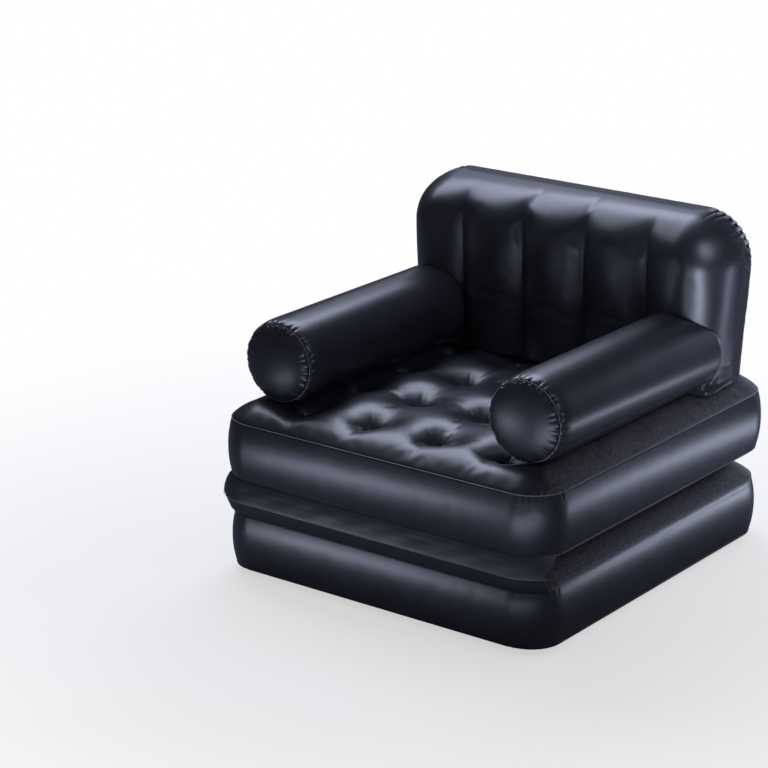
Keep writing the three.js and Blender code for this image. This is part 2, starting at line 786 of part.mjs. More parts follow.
// One arm: a tube that rests flat on the seat, a domed front disc and a rear disc with a port
function arm(side, name) {
  const centreX = side * armX;
  const floorZ = seatSurface + weldGap;
  const point = (radius, k) => {
    const angle = (2 * Math.PI * (k + 1 / 2)) / armSides;
    const z = Math.max(armHeight + radius * Math.sin(angle), floorZ + (armRadius - radius) / 2);
    return [centreX + radius * Math.cos(angle), z];
  };
  const indices = Array.from({ length: armSides }, (_, k) => k);
  const flat = (radius, y) => indices.map((k) => {
    const [x, z] = point(radius, k);
    return [x, y, z];
  });
  const fitted = (radius, clear) => indices.map((k) => {
    const [x, z] = point(radius, k);
    return [x, backFaceBehind(x, z) - clear, z];
  });
  const front = armFrontY + weldGap / 2;
  const discClear = 2 * skin + weldGap;
  const tube = new Skin();
  const rings = [
    flat(armRimRadius, front),
    flat((armRimRadius + armRadius) / 2, front + armShoulder / 4),
    flat(armRadius, front + armShoulder),
    fitted(armRadius, discClear),
    fitted(armRadius - skin, discClear),
    flat(armRadius - skin, front + armShoulder),
    flat((armRimRadius + armRadius) / 2 - skin, front + armShoulder / 4),
    flat(armRimRadius - skin, front),
  ].map((ring) => tube.ring(ring));
  rings.forEach((ring, i) => tube.strip(ring, rings[(i + 1) % rings.length]));
  place(seatSection, `arm_${name}_tube`, tube.geometry(), vinyl);

  const dome = new Skin();
  const shell = (shift) => {
    const rim = dome.ring(flat(armRimRadius - shift, armFrontY - weldGap / 2));
    const steps = domeRadiusShares.map((share, i) => (
      dome.ring(flat(armRimRadius * share, armFrontY - weldGap / 2 - armDome * domeHeightShares[i] + shift))
    ));
    return [rim, ...steps];
  };
  const [outer, inner] = [shell(0), shell(skin)];
  outer.slice(1).forEach((ring, i) => dome.strip(ring, outer[i]));
  inner.slice(1).forEach((ring, i) => dome.lining(ring, inner[i]));
  dome.strip(outer[0], inner[0]);
  const tip = dome.add([centreX, armFrontY - weldGap / 2 - armDome, armHeight]);
  const tipInside = dome.add([centreX, armFrontY - weldGap / 2 - armDome + skin, armHeight]);
  indices.forEach((k) => {
    const next = (k + 1) % armSides;
    dome.faces.push([tip, outer[outer.length - 1][k], outer[outer.length - 1][next]]);
    dome.faces.push([tipInside, inner[inner.length - 1][next], inner[inner.length - 1][k]]);
  });
  place(seatSection, `arm_${name}_front_disc`, dome.geometry(), vinyl);

  const rear = new Skin();
  const radii = [armRadius - skin, ...rearDiscShares.map((share) => share * armRadius), portRadius];
  const near = radii.map((radius) => rear.ring(fitted(radius, skin)));
  const far = radii.map((radius) => rear.ring(fitted(radius, 0)));
  near.slice(1).forEach((ring, i) => rear.strip(ring, near[i]));
  far.slice(1).forEach((ring, i) => rear.lining(ring, far[i]));
  rear.strip(near[0], far[0]);
  rear.strip(far[far.length - 1], near[near.length - 1]);
  place(seatSection, `arm_${name}_rear_disc`, rear.geometry(), vinyl);
}

arm(-1, 'left');
arm(1, 'right');

export default chair;
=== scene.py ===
"""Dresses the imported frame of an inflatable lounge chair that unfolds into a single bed."""

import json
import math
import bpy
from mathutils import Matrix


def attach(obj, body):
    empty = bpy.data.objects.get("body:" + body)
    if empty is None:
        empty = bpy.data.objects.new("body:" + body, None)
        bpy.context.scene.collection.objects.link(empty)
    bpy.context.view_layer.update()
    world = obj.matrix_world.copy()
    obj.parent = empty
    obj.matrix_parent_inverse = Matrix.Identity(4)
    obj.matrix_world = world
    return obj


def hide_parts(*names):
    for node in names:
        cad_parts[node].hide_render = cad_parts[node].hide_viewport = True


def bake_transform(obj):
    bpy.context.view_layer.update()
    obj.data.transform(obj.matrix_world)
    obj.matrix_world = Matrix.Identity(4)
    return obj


bl_info = {
    "name": "Inflatable lounge chair",
    "version": (1, 0, 0),
    "blender": (4, 5, 0),
    "location": "View3D > Sidebar > Chair",
    "description": "Dresses the packed frame of an inflatable lounge chair in welded vinyl",
    "category": "Object",
}

from contextlib import contextmanager
from functools import cache

import bpy
import numpy as np
from mathutils import Matrix, Vector

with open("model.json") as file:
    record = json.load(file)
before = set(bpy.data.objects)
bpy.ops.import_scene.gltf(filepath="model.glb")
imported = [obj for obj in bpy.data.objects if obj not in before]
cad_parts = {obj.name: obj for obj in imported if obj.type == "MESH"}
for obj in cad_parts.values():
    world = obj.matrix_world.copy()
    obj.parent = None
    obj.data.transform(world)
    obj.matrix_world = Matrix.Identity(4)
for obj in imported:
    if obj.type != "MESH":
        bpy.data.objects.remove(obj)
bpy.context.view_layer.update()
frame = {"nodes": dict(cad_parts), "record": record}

# Plan of the air sections and the places of their welds, in metres
HALF_X = 0.475
HALF_Y = 0.512
CORNER = 0.090
STRAIGHT_X = HALF_X - CORNER
STRAIGHT_Y = HALF_Y - CORNER
SECTION_GRID = (96, 104, 12)
ON_SHEET = 0.999
BAND_BULGE = 0.010
BAND_POWER = 2.1
BAND_SWELL_SHARE = 0.14
TOP_SWELL_SHARE = 0.65
ROLL_WIDTH = 0.090
ROLL_POWER = 0.85
TUFT_X = (-0.2865, -0.0955, 0.0955, 0.2865)
TUFT_Y = (-0.392, -0.196, 0.0, 0.196, 0.392)
PIT_FLOOR = 0.013
PIT_REACH = 0.082
PIT_ROUND = 0.50
GATHER_REACH = 0.090
FOLD_RISE = 0.020
FOLD_WIDTH = 0.0110
FOLD_TURN = 3.98
TUFT_PITCH = (0.191, 0.196)
CREASE_WIDTH = 0.0042
CREASE_DEPTH = 0.0024
CREASES = 6
TUFT_WELD = 0.024
MATT_FROM = 0.385

# Air and welds: the cloth's frames, and for each chamber its greatest movement and its growth
AIR_FRAMES = 20
SECTION_AIR = (0.007, 0.012)
BACK_AIR = (0.006, 0.008)
ARM_AIR = (0.004, 0.006)
WELD_PROUD = 0.0004
RIM_PLEAT = 0.0046
RIM_GROOVE = 0.0030
RIM_WELD_PLEAT = 0.0018
RIM_WELD_PROUD = 0.0010

# Pleats: their places round a corner in degrees, and half the width of one
CORNER_MARKS = (9, 20, 29, 41, 50, 61, 70, 82)
CORNER_PLEAT_WIDTH = 0.0036
BACK_MARKS = (4, 13, 21, 31, 39, 49, 57, 67, 76)
FOOT_MARKS = (18, 48, 74, 103, 131, 158)
PLEAT_WIDTH = 0.0042
# Ticks across the backrest's weld, painted highlights on its corner pleats in the weld's pale
# finish: their places in degrees, length and reach
HIGHLIGHT_TICK_MARKS = (8, 17, 26, 35, 44, 53, 62, 71)
HIGHLIGHT_TICK_LENGTH = 0.015
HIGHLIGHT_TICK_REACH = 0.57
BACK_PLEATS = 1.5

# Each air section: its two seams, how much it is narrowed, and for its two sheets the crown, the
# pit depth (None is the depth set in the panel) and the swell between the tufts
SEAT = {"bottom": 0.244, "top": 0.392, "trim": 0,
        "up": (0.039, None, 0.008), "down": (0.04235, 0.030, 0)}
BASE = {"bottom": 0.020, "top": 0.159, "trim": 0.009,
        "up": (0.04235, 0.030, 0), "down": (0.020, 0.018, 0)}
SECTIONS = (("seat", SEAT, "seat_and_back"), ("base", BASE, "base"))
SIDES = ((-1, "left"), (1, "right"))

# Backrest
BACK_HALF = 0.474
BACK_TOP = 0.860
BACK_FOOT = 0.4321
BACK_CORNER = 0.125
BACK_STRAIGHT = BACK_HALF - BACK_CORNER
BACK_SHOULDER = BACK_TOP - BACK_CORNER
BACK_GRID = (106, 56, 3)
BACK_SEAM_Y = 0.385
BACK_RIM = 0.0015
BACK_FRONT = {"depth": 0.153, "bulge": 0.023, "roll": 0.094}
BACK_REAR = {"depth": 0.105, "bulge": 0.010, "roll": 0.450}
CHANNEL = 0.181
OUTER_VALLEY = 0.2715
CHANNEL_FADE = 0.075
CHANNEL_END = 0.016
CHANNEL_ROUND = 0.85
FOOT_HALF = 0.446
FOOT_TAPER = 0.360
FOOT_CURVE = 1.3
FOOT_EAR = (0.027, 0.020)
FOOT_EAR_PLACE = (0.4223, 0.265)
FOOT_EAR_HEIGHT = 0.030
FOOT_EAR_ROUND = (0.30, 0.22)
FOOT_CREASE = 0.0030
WEB_GAP = 0.004
WEB_TOP_GAP = 0.020
WEB_GRID = (24, 40)
SHEET_THICKNESS = 0.0005

# Hinge flap: places from its upper weld to its lower one, and how far round the corners it goes
FLAP_DROPS = (0, 0.08, 0.22, 0.38, 0.50, 0.56, 0.60, 0.66, 0.78, 0.90, 1)
FLAP_HEIGHTS = (0.252, 0.246, 0.234, 0.220, 0.209, 0.203, 0.199, 0.193, 0.180, 0.166, 0.155)
FLAP_OUTS = (-0.002, 0.0045, 0.0105, 0.0160, 0.0195, 0.0212, 0.0220, 0.0200, 0.0150, 0.0085, -0.001)
FLAP_LEFT = 0.480
FLAP_RIGHT = 0.503
FLAP_SLANT = (0, 0.044, 0.021)
FLAP_GRID = (420, 40)
FLAP_WAVES = (0.0011, 0.0008)
FLAP_PUCKERS = (0.0022, 0.0012)

# Arms
ARM_X = 0.357
ARM_Z = 0.530
ARM_RADIUS = 0.105
ARM_RIM = 0.096
ARM_FRONT = -0.418
ARM_SHOULDER = 0.045
ARM_REAR = 0.290
ARM_GAP = 0.003
ARM_REAR_ROUND = 0.016
ARM_REAR_BLEND = 0.034
ARM_DOME = 0.024
ARM_DOME_END = 0.26
ARM_TUBE_END = 0.88
ARM_SEGMENTS = 120
ARM_RINGS = 110
ARM_STEPS = 441
ARM_REACH = 0.70
ARM_SPACING = 1.35
LONG_WELD_TURN = -31
LONG_WELD_ENDS = (ARM_FRONT + 0.03, 0.235)
LONG_WELD_PROUD = 0.0002
SEAT_SURFACE = 0.4313
RIM_PLEATS = 30

# Camera as fitted to the photo: its place, and which way its right side, top and back point
LENS = 124.9
SENSOR = 36
CAMERA_PLACE = (3.5095, -5.1331, 2.4963)
CAMERA_AXES = ((0.79899, 0.60134, 0), (-0.18922, 0.25142, 0.94920), (0.57079, -0.75841, 0.31467))
PAPER_GLOW = 0.58
LAMP_COLOUR = "#dbe3ff"

# Softboxes: name, place, aim, width and height, watts, and how wide the beam spreads in degrees
SOFTBOXES = (
    ("overhead", (-1.20, 0.82, 2.55), (-0.1, 0.0, 0.45), (2.4, 1.10), 62, 180),
    ("rear", (-1.3, 2.7, 1.95), (-0.2, 0.0, 0.5), (2.4, 0.9), 6, 180),
    ("rear_soft", (0.3, 3.1, 0.9), (0, 0.5, 0.4), (2.4, 1.3), 34, 180),
    ("front_low", (-0.62, -1.36, 0.055), (0, -0.5, 0.2), (0.62, 0.10), 0.42, 60),
    ("right_low", (1.08, 0.86, 0.055), (0.4, 0.1, 0.2), (0.80, 0.10), 0.38, 60),
    ("shoulder", (1.75, -0.05, 1.75), (0.43, 0.27, 0.80), (0.60, 1.50), 2.4, 60),
    ("right_tall", (1.34, 0.80, 0.32), (0.467, 0.32, 0.65), (0.14, 0.42), 0.060, 30),
    ("front_tall", (1.55, -0.50, 0.25), (0.43, 0.24, 0.65), (0.80, 0.42), 0.80, 30),
    ("front_floor", (1.10, -1.62, 0.03), (1.10, -1.62, 3), (2.0, 1.0), 30, 180),
)


def linear(hex_colour):
    """An sRGB hex value as linear red, green, blue and alpha."""
    parts = [int(hex_colour[i:i + 2], 16) / 255 for i in (1, 3, 5)]
    return (*[p / 12.92 if p <= 0.04045 else ((p + 0.055) / 1.055) ** 2.4 for p in parts], 1.0)


# Materials

def add_node(tree, kind, links=(), values=(), **settings):
    """A node with its incoming links, socket values and settings."""
    node = tree.nodes.new(kind)
    for name, value in settings.items():
        setattr(node, name, value)
    for name, value in dict(values).items():
        node.inputs[name].default_value = value
    for name, source in dict(links).items():
        tree.links.new(source, node.inputs[name])
    return node


def bare_tree(owner):
    """The node tree of a material or world, emptied."""
    owner.use_nodes = True
    owner.node_tree.nodes.clear()
    return owner.node_tree


def noise(tree, place, scale, detail):
    """Noise from 0 to 1 at a place."""
    return add_node(tree, "ShaderNodeTexNoise", {"Vector": place},
                    {"Scale": scale, "Detail": detail}).outputs["Fac"]


def two_tones(tree, source, places, colours):
    """A colour ramp from one colour to another over a part of the source's range."""
    ramp = add_node(tree, "ShaderNodeValToRGB", {"Fac": source})
    for element, place, colour in zip(ramp.color_ramp.elements, places, colours):
        element.position = place
        element.color = colour
    return ramp.outputs["Color"]


def mix_shader(tree, share, first, second):
    """Two shaders mixed by another node's value."""
    return add_node(tree, "ShaderNodeMixShader",
                    {0: share, 1: first.outputs[0], 2: second.outputs[0]})


def vinyl(name, colour, rough, grain=0.12, matt=None):
    """Calendered PVC: soft satin gloss, a very fine grain and slow waves from the rollers.

    Where matt gives two colours, the piece's matt_share attribute turns the gloss into the
    embossed, speckled finish of the sheets' outer parts, drawn coarser than the real 1 mm."""
    material = bpy.data.materials.new(name)
    tree = bare_tree(material)
    place = add_node(tree, "ShaderNodeTexCoord").outputs["Object"]
    fine = noise(tree, place, 900.0, 2.0)
    colour_out = two_tones(tree, noise(tree, place, 14.0, 3.0), (0.35, 0.7), colour)
    rough_out = add_node(tree, "ShaderNodeMapRange", {"Value": fine}, {
        "From Min": 0.3, "From Max": 0.7, "To Min": rough[0], "To Max": rough[1],
    }).outputs["Result"]
    relief = add_node(tree, "ShaderNodeBump", {"Height": fine},
                      {"Strength": grain, "Distance": 0.0004}).outputs["Normal"]
    if matt:
        share = add_node(tree, "ShaderNodeAttribute", attribute_name="matt_share").outputs["Fac"]
        speckle = noise(tree, place, 250.0, 3.0)
        colour_out = add_node(tree, "ShaderNodeMix", {
            "Factor": share, 6: colour_out, 7: two_tones(tree, speckle, (0.42, 0.66), matt),
        }, data_type="RGBA").outputs[2]
        dull = add_node(tree, "ShaderNodeMapRange", {"Value": share},
                        {"To Min": 0.0, "To Max": 0.34}).outputs["Result"]
        rough_out = add_node(tree, "ShaderNodeMath", {0: rough_out, 1: dull},
                             operation="ADD").outputs[0]
        relief = add_node(tree, "ShaderNodeBump", {
            "Height": speckle, "Normal": relief, "Strength": share,
        }, {"Distance": 0.0010}).outputs["Normal"]
    surface = add_node(tree, "ShaderNodeBsdfPrincipled", {
        "Base Color": colour_out, "Roughness": rough_out, "Normal": relief}, {"IOR": 1.54})
    add_node(tree, "ShaderNodeOutputMaterial", {"Surface": surface.outputs["BSDF"]})
    return material


@cache
def materials():
    """The object's own finishes, made at the first call."""
    colours = bpy.context.scene.chair_colours
    sheet = (tuple(colours.vinyl), tuple(colours.vinyl_pale))
    satin = (0.31, 0.38)
    return {
        # Rolled between polished cylinders: near black, with long soft highlights
        "vinyl": vinyl("satin_calendered_pvc", sheet, satin),
        # The same sheet, rolled with an embossed cylinder where it is matt and pebbled
        "section": vinyl("embossed_calendered_pvc", sheet, satin,
                         matt=(linear("#0f0e12"), linear("#403c44"))),
        # A single loose layer with a duller face, so that its highlights are wide and weak
        "flap": vinyl("matt_pvc_flap", (linear("#1b1b22"), linear("#202027")), (0.40, 0.50)),
        # Unpolished sheet for the inside, which shows almost no highlight
        "inner": vinyl("matt_pvc_webbing", (linear("#1c1c21"), linear("#232329")), (0.5, 0.62)),
        # Pressed and melted edge: greyer than the sheet as a welded edge is, and paler still, so
        # that a painted highlight runs as a thin pale line along each seam
        "weld": vinyl("heat_welded_pvc_edge", (tuple(colours.weld), linear("#6e6b6a")),
                      (0.35, 0.5)),
        # Injection moulded in a fine-sparked tool: black with a tight, even sheen
        "plastic": vinyl("moulded_polypropylene", (linear("#121215"), linear("#18181b")),
                         (0.38, 0.48)),
        # Moulded rubber: dark grey and dull
        "rubber": vinyl("soft_nitrile_rubber", (linear("#2c2c30"), linear("#36363a")), (0.7, 0.8)),
    }


# Shaping

def only(piece):
    """Selects one piece alone and makes it active."""
    bpy.ops.object.select_all(action="DESELECT")
    piece.select_set(True)
    bpy.context.view_layer.objects.active = piece


def begin(name, add, **options):
    """A primitive under a name of its own, selected alone."""
    bpy.ops.object.select_all(action="DESELECT")
    add(**options)
    piece = bpy.context.object
    piece.name = piece.data.name = name
    return piece


def flat_grid(name, columns, rows):
    """A flat grid from -1 to 1 each way."""
    return begin(name, bpy.ops.mesh.primitive_grid_add, x_subdivisions=columns,
                 y_subdivisions=rows, size=2)


@contextmanager
def editing(piece, kind="FACE", chosen=None):
    """Edit mode on one piece, with all of it selected or only the chosen faces or edges."""
    only(piece)
    bpy.ops.object.mode_set(mode="EDIT")
    bpy.ops.mesh.select_mode(type=kind)
    bpy.ops.mesh.select_all(action="SELECT" if chosen is None else "DESELECT")
    if chosen is not None:
        bpy.ops.object.mode_set(mode="OBJECT")
        items = piece.data.polygons if kind == "FACE" else piece.data.edges
        items.foreach_set("select", chosen)
        bpy.ops.object.mode_set(mode="EDIT")
    yield
    bpy.ops.object.mode_set(mode="OBJECT")


def face_outward(piece):
    """Turns all the faces of a closed mesh outward."""
    with editing(piece):
        bpy.ops.mesh.normals_make_consistent(inside=False)


def lattice(name, columns, rows, cuts):
    """Two grids joined round their edges by bridged rows: a box from -1 to 1 each way."""
    box = flat_grid(name, columns, rows)
    with editing(box, "EDGE"):
        bpy.ops.transform.translate(value=(0, 0, 1))
        bpy.ops.mesh.duplicate()
        bpy.ops.transform.translate(value=(0, 0, -2))
        bpy.ops.mesh.flip_normals()
        bpy.ops.mesh.select_all(action="DESELECT")
        bpy.ops.mesh.select_non_manifold()
        bpy.ops.mesh.bridge_edge_loops(number_cuts=cuts)
    face_outward(box)
    keep(box, "plain_place", points_of(box))
    return box


def rows_of(items, field, width=3, kind=float):
    """A field of one or more numbers, one row for each item."""
    flat = np.empty(len(items) * width, kind)
    items.foreach_get(field, flat)
    return flat.reshape(-1, width)


def stacked(*columns):
    """Points as rows, from their columns; a single number fills a whole column."""
    return np.column_stack(np.broadcast_arrays(*columns))


def points_of(piece):
    """The piece's vertices as rows of x, y and z."""
    return rows_of(piece.data.vertices, "co")


def move_to(piece, points):
    """Puts the piece's vertices at new places."""
    piece.data.vertices.foreach_set("co", np.ascontiguousarray(points, float).ravel())
    piece.data.update()


def keep(piece, name, values):
    """Keeps a number or a row of three for each vertex, also through later cuts."""
    kind, field = ("FLOAT", "value") if values.ndim == 1 else ("FLOAT_VECTOR", "vector")
    layer = piece.data.attributes.new(name, kind, "POINT")
    layer.data.foreach_set(field, values.ravel())


def kept(piece, name):
    """The rows kept under a name."""
    return rows_of(piece.data.attributes[name].data, "vector")


def places_of(piece):
    """Each vertex's place on the plain form, for the welds and pleats that come later."""
    return kept(piece, "plain_place")


def refine(piece, test=None):
    """Cuts each face in four, or only the faces whose place on the plain form meets the test."""
    chosen = None
    if test is not None:
        mesh = piece.data
        counts = rows_of(mesh.polygons, "loop_total", 1, np.int32)[:, 0]
        corners = rows_of(mesh.loops, "vertex_index", 1, np.int32)[:, 0]
        centres = np.zeros((len(counts), 3))
        np.add.at(centres, np.repeat(np.arange(len(counts)), counts), places_of(piece)[corners])
        chosen = test(centres / counts[:, None])
    with editing(piece, chosen=chosen):
        bpy.ops.mesh.subdivide(number_cuts=1)


def evened(piece, values, rounds):
    """Evens values out over the mesh, each point taking the mean of its neighbours."""
    edges = rows_of(piece.data.edges, "vertices", 2, np.int32)
    first, second = edges.T
    counts = np.bincount(edges.ravel(), minlength=len(values))[:, None]
    for _ in range(rounds):
        sums = np.zeros_like(values)
        np.add.at(sums, first, values[second])
        np.add.at(sums, second, values[first])
        values = (values + sums / counts) / 2
    return values


def blow_up(piece, held, most, growth):
    """Air pressure against the held welds, in Cloth; keeps how far each point moved."""
    start = points_of(piece)
    moved = np.zeros_like(start)
    scene = bpy.context.scene
    welds = piece.vertex_groups.new(name="welds")
    welds.add(np.flatnonzero(held).tolist(), 1.0, "REPLACE")
    only(piece)
    cloth = piece.modifiers.new("air", "CLOTH")
    cloth.settings.vertex_group_mass = "welds"
    cloth.settings.use_pressure = True
    cloth.settings.uniform_pressure_force = sizes().air_pressure
    cloth.settings.effector_weights.gravity = 0
    cloth.settings.shrink_min = -growth
    cloth.point_cache.frame_start, cloth.point_cache.frame_end = 1, AIR_FRAMES
    for step in range(1, AIR_FRAMES + 1):
        scene.frame_set(step)
    bpy.ops.object.modifier_apply(modifier=cloth.name)
    scene.frame_set(1)
    piece.vertex_groups.clear()
    moved = points_of(piece) - start
    size = np.maximum(np.linalg.norm(moved, axis=1), 1e-9)
    moved *= np.minimum(1, most / size)[:, None]
    keep(piece, "air_swell", moved)


def swell_of(piece, rounds=3):
    """The movement kept by blow_up, evened out over the finer mesh."""
    return evened(piece, kept(piece, "air_swell"), rounds)


def press(piece, depths):
    """Moves each point in along its normal by its own depth."""
    normals = rows_of(piece.data.vertex_normals, "vector")
    move_to(piece, points_of(piece) - normals * depths[:, None])


def fold_line(angle, mark, reach, width):
    """1 on a fold line and 0 away from it; the angles are in radians, the rest in metres."""
    off = (angle - mark + math.pi) % (2 * math.pi) - math.pi
    return np.exp(-(off * reach / width) ** 2)


def folds(angle, marks, reach, width):
    """The highest of several fold lines."""
    total = np.zeros_like(angle)
    for mark in marks:
        total = np.maximum(total, fold_line(angle, mark, reach, width))
    return total


def dress(piece, finish, body, slot, *nodes):
    """Smooth shading, finish, body and the frame nodes that the piece stands for; slot is not used.
    """
    only(piece)
    bpy.ops.object.shade_smooth()
    piece.data.materials.clear()
    piece.data.materials.append(materials()[finish])
    if body:
        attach(piece, body)
    if nodes:
        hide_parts(*nodes)
    return piece


def rounded_least(first, second, reach):
    """The lesser of two lengths, rounded over where they cross."""
    share = np.clip(0.5 + (second - first) / (2 * reach), 0, 1)
    return first * share + second * (1 - share) - reach * share * (1 - share)


def smooth_step(low, high, value):
    """0 before low, 1 after high, and smooth between."""
    share = np.clip((value - low) / (high - low), 0, 1)
    return share * share * (3 - 2 * share)


# Air sections

def round_corners(x, y):
    """Draws the corners of a full rectangle in to the sections' rounded plan."""
    over_x = np.clip((np.abs(x) - STRAIGHT_X) / CORNER, 0, 1)
    over_y = np.clip((np.abs(y) - STRAIGHT_Y) / CORNER, 0, 1)
    near_x = np.minimum(np.abs(x), STRAIGHT_X)
    near_y = np.minimum(np.abs(y), STRAIGHT_Y)
    reach_x = CORNER * over_x * np.sqrt(1 - over_y ** 2 / 2)
    reach_y = CORNER * over_y * np.sqrt(1 - over_x ** 2 / 2)
    return np.sign(x) * (near_x + reach_x), np.sign(y) * (near_y + reach_y)


def nearest_tuft(x, y):
    """The nearest tuft's centre, and the distance from it."""
    tuft_x = np.array(TUFT_X)[np.abs(x[:, None] - np.array(TUFT_X)).argmin(1)]
    tuft_y = np.array(TUFT_Y)[np.abs(y[:, None] - np.array(TUFT_Y)).argmin(1)]
    return tuft_x, tuft_y, np.hypot(x - tuft_x, y - tuft_y)


def gather(x, y):
    """Draws the lattice closer together round each tuft's lip."""
    tuft_x, tuft_y, far = nearest_tuft(x, y)
    share = np.interp(far / GATHER_REACH, (0, 0.18, 0.30, 0.80, 1.0), (0, 0.24, 0.30, 0.64, 1.0))
    near = np.where(far < GATHER_REACH, share * GATHER_REACH / np.maximum(far, 1e-9), 1)
    return tuft_x + (x - tuft_x) * near, tuft_y + (y - tuft_y) * near


def inside(x, y, reach_x, reach_y, radius):
    """Distance inwards from a rounded outline."""
    over_x = np.abs(x) - (reach_x - radius)
    over_y = np.abs(y) - (reach_y - radius)
    outside = np.hypot(np.maximum(over_x, 0), np.maximum(over_y, 0))
    return radius - outside - np.minimum(np.maximum(over_x, over_y), 0)


def sheet_height(x, y, crown, pit_depth, land_swell):
    """Height of a tufted sheet above its seam: edge roll, swell between tufts, and pits.

    Each tuft's own kind number makes its outline, its creases and its fold a little different."""
    inward = np.maximum(inside(x, y, HALF_X, HALF_Y, CORNER), 0)
    roll = np.sin(math.pi / 2 * np.minimum(inward / ROLL_WIDTH, 1))
    height = crown * np.maximum(roll, 0) ** ROLL_POWER
    tuft_x, tuft_y, far = nearest_tuft(x, y)
    angle = np.arctan2(y - tuft_y, x - tuft_x)
    kind = tuft_x * 37 + tuft_y * 53
    far = far * (1 + 0.05 * np.cos(2 * angle + kind) + 0.04 * np.cos(3 * angle + 2 * kind))
    short = 1 - np.clip((far - PIT_FLOOR) / PIT_REACH, 0, 1)
    wall = 1 - (1 - short ** 2) ** PIT_ROUND
    crease = np.zeros_like(far)
    for count in range(CREASES):
        mark = 2 * math.pi * count / CREASES + 0.45 * np.sin(kind * 3 + count * 2.1)
        strength = 0.75 + 0.25 * np.sin(kind * 5 + count * 4.7)
        crease = np.maximum(crease, strength * fold_line(angle, mark, far, CREASE_WIDTH))
    crease *= smooth_step(0.018, 0.026, far) * (1 - smooth_step(0.034, 0.070, far))
    turn = FOLD_TURN + 0.22 * np.sin(kind * 1.7)
    along = (x - tuft_x) * np.cos(turn) + (y - tuft_y) * np.sin(turn)
    across = (x - tuft_x) * np.sin(turn) - (y - tuft_y) * np.cos(turn)
    fold = FOLD_RISE * (land_swell > 0) * np.exp(-(across / FOLD_WIDTH) ** 2)
    fold *= smooth_step(-0.008, 0.010, along) * (1 - smooth_step(0.016, 0.046, along)) * wall
    side = 1 - smooth_step(TUFT_Y[0] - 0.01, TUFT_Y[0] - 0.09, y)
    waves = ((1 - np.cos(2 * math.pi * (x - tuft_x) / TUFT_PITCH[0])) * side
             + 1 - np.cos(2 * math.pi * (y - tuft_y) / TUFT_PITCH[1])) / 4
    free = (1 - smooth_step(0.20, 0.30, np.abs(x))) * (1 - smooth_step(0.10, 0.22, y))
    pit_depth = sizes().tuft_depth if pit_depth is None else pit_depth
    land = land_swell * waves * free * smooth_step(0.02, 0.12, inward)
    return height + land - pit_depth * wall + fold - CREASE_DEPTH * crease


def section_form(places, section):
    """An air section from its lattice: tufted sheets above and below a bulging side band.

    A lattice height w beyond ON_SHEET lies on a sheet, and the rest on the band."""
    u, v, w = places.T
    x, y = round_corners(u * HALF_X, v * HALF_Y)
    x, y = gather(x, y)
    out_x = x - np.clip(x, -STRAIGHT_X, STRAIGHT_X)
    out_y = y - np.clip(y, -STRAIGHT_Y, STRAIGHT_Y)
    length = np.maximum(np.hypot(out_x, out_y), 1e-9)
    share = (w + 1) / 2
    bulge = BAND_BULGE * (1 - np.abs(2 * share - 1) ** BAND_POWER)
    bulge = np.where(np.abs(w) < ON_SHEET, bulge, 0)
    x, y = x + bulge * out_x / length, y + bulge * out_y / length
    x = x * (1 - section["trim"] / HALF_X)
    z = section["bottom"] + share * (section["top"] - section["bottom"])
    z = np.where(w > ON_SHEET, section["top"] + sheet_height(x, y, *section["up"]), z)
    z = np.where(w < -ON_SHEET, section["bottom"] - sheet_height(x, y, *section["down"]), z)
    return stacked(x, y, z)


def near_tuft(centres):
    """Which faces of the top sheet lie on a tuft's walls."""
    x, y = round_corners(centres[:, 0] * HALF_X, centres[:, 1] * HALF_Y)
    return (centres[:, 2] > 0.9) & (nearest_tuft(x, y)[2] < 0.062)


def near_corner_weld(centres):
    """Which faces lie on the pleats of the top weld's corners."""
    x, y, rise = np.abs(centres[:, 0]) * HALF_X, np.abs(centres[:, 1]) * HALF_Y, centres[:, 2]
    corner = (x > STRAIGHT_X - 0.01) & (y > STRAIGHT_Y - 0.01)
    rim = np.maximum(x - HALF_X, y - HALF_Y) > -0.034
    return corner & (rise > 0.35) & ((rise < 0.99) | rim)


def corner_pleats(points, top):
    """Depth of the pleats where the top weld turns its corners."""
    x, y, z = points.T
    over_x, over_y = np.abs(x) - STRAIGHT_X, np.abs(y) - STRAIGHT_Y
    angle = np.arctan2(over_y, over_x)
    corner = smooth_step(-0.004, 0.012, over_x) * smooth_step(-0.004, 0.012, over_y)
    away = np.where(z > top, np.abs(CORNER - np.hypot(over_x, over_y)) + (z - top), top - z)
    lines = folds(angle, np.radians(CORNER_MARKS), CORNER, CORNER_PLEAT_WIDTH)
    return sizes().pleat_depth * lines * corner * np.exp(-(away / 0.011) ** 1.5)


def matt_share(points, section):
    """Where a section's top sheet has the matt, embossed finish."""
    x, y, z = points.T
    inward = inside(x, y, HALF_X, HALF_Y, CORNER)
    sheet = smooth_step(0.0, 0.004, inward) * (z > section["top"])
    if section is BASE:
        return sheet
    edge = MATT_FROM + 0.075 * (1 - smooth_step(-0.49, -0.40, y))
    return sheet * smooth_step(0, 0.03, np.abs(x) - edge)


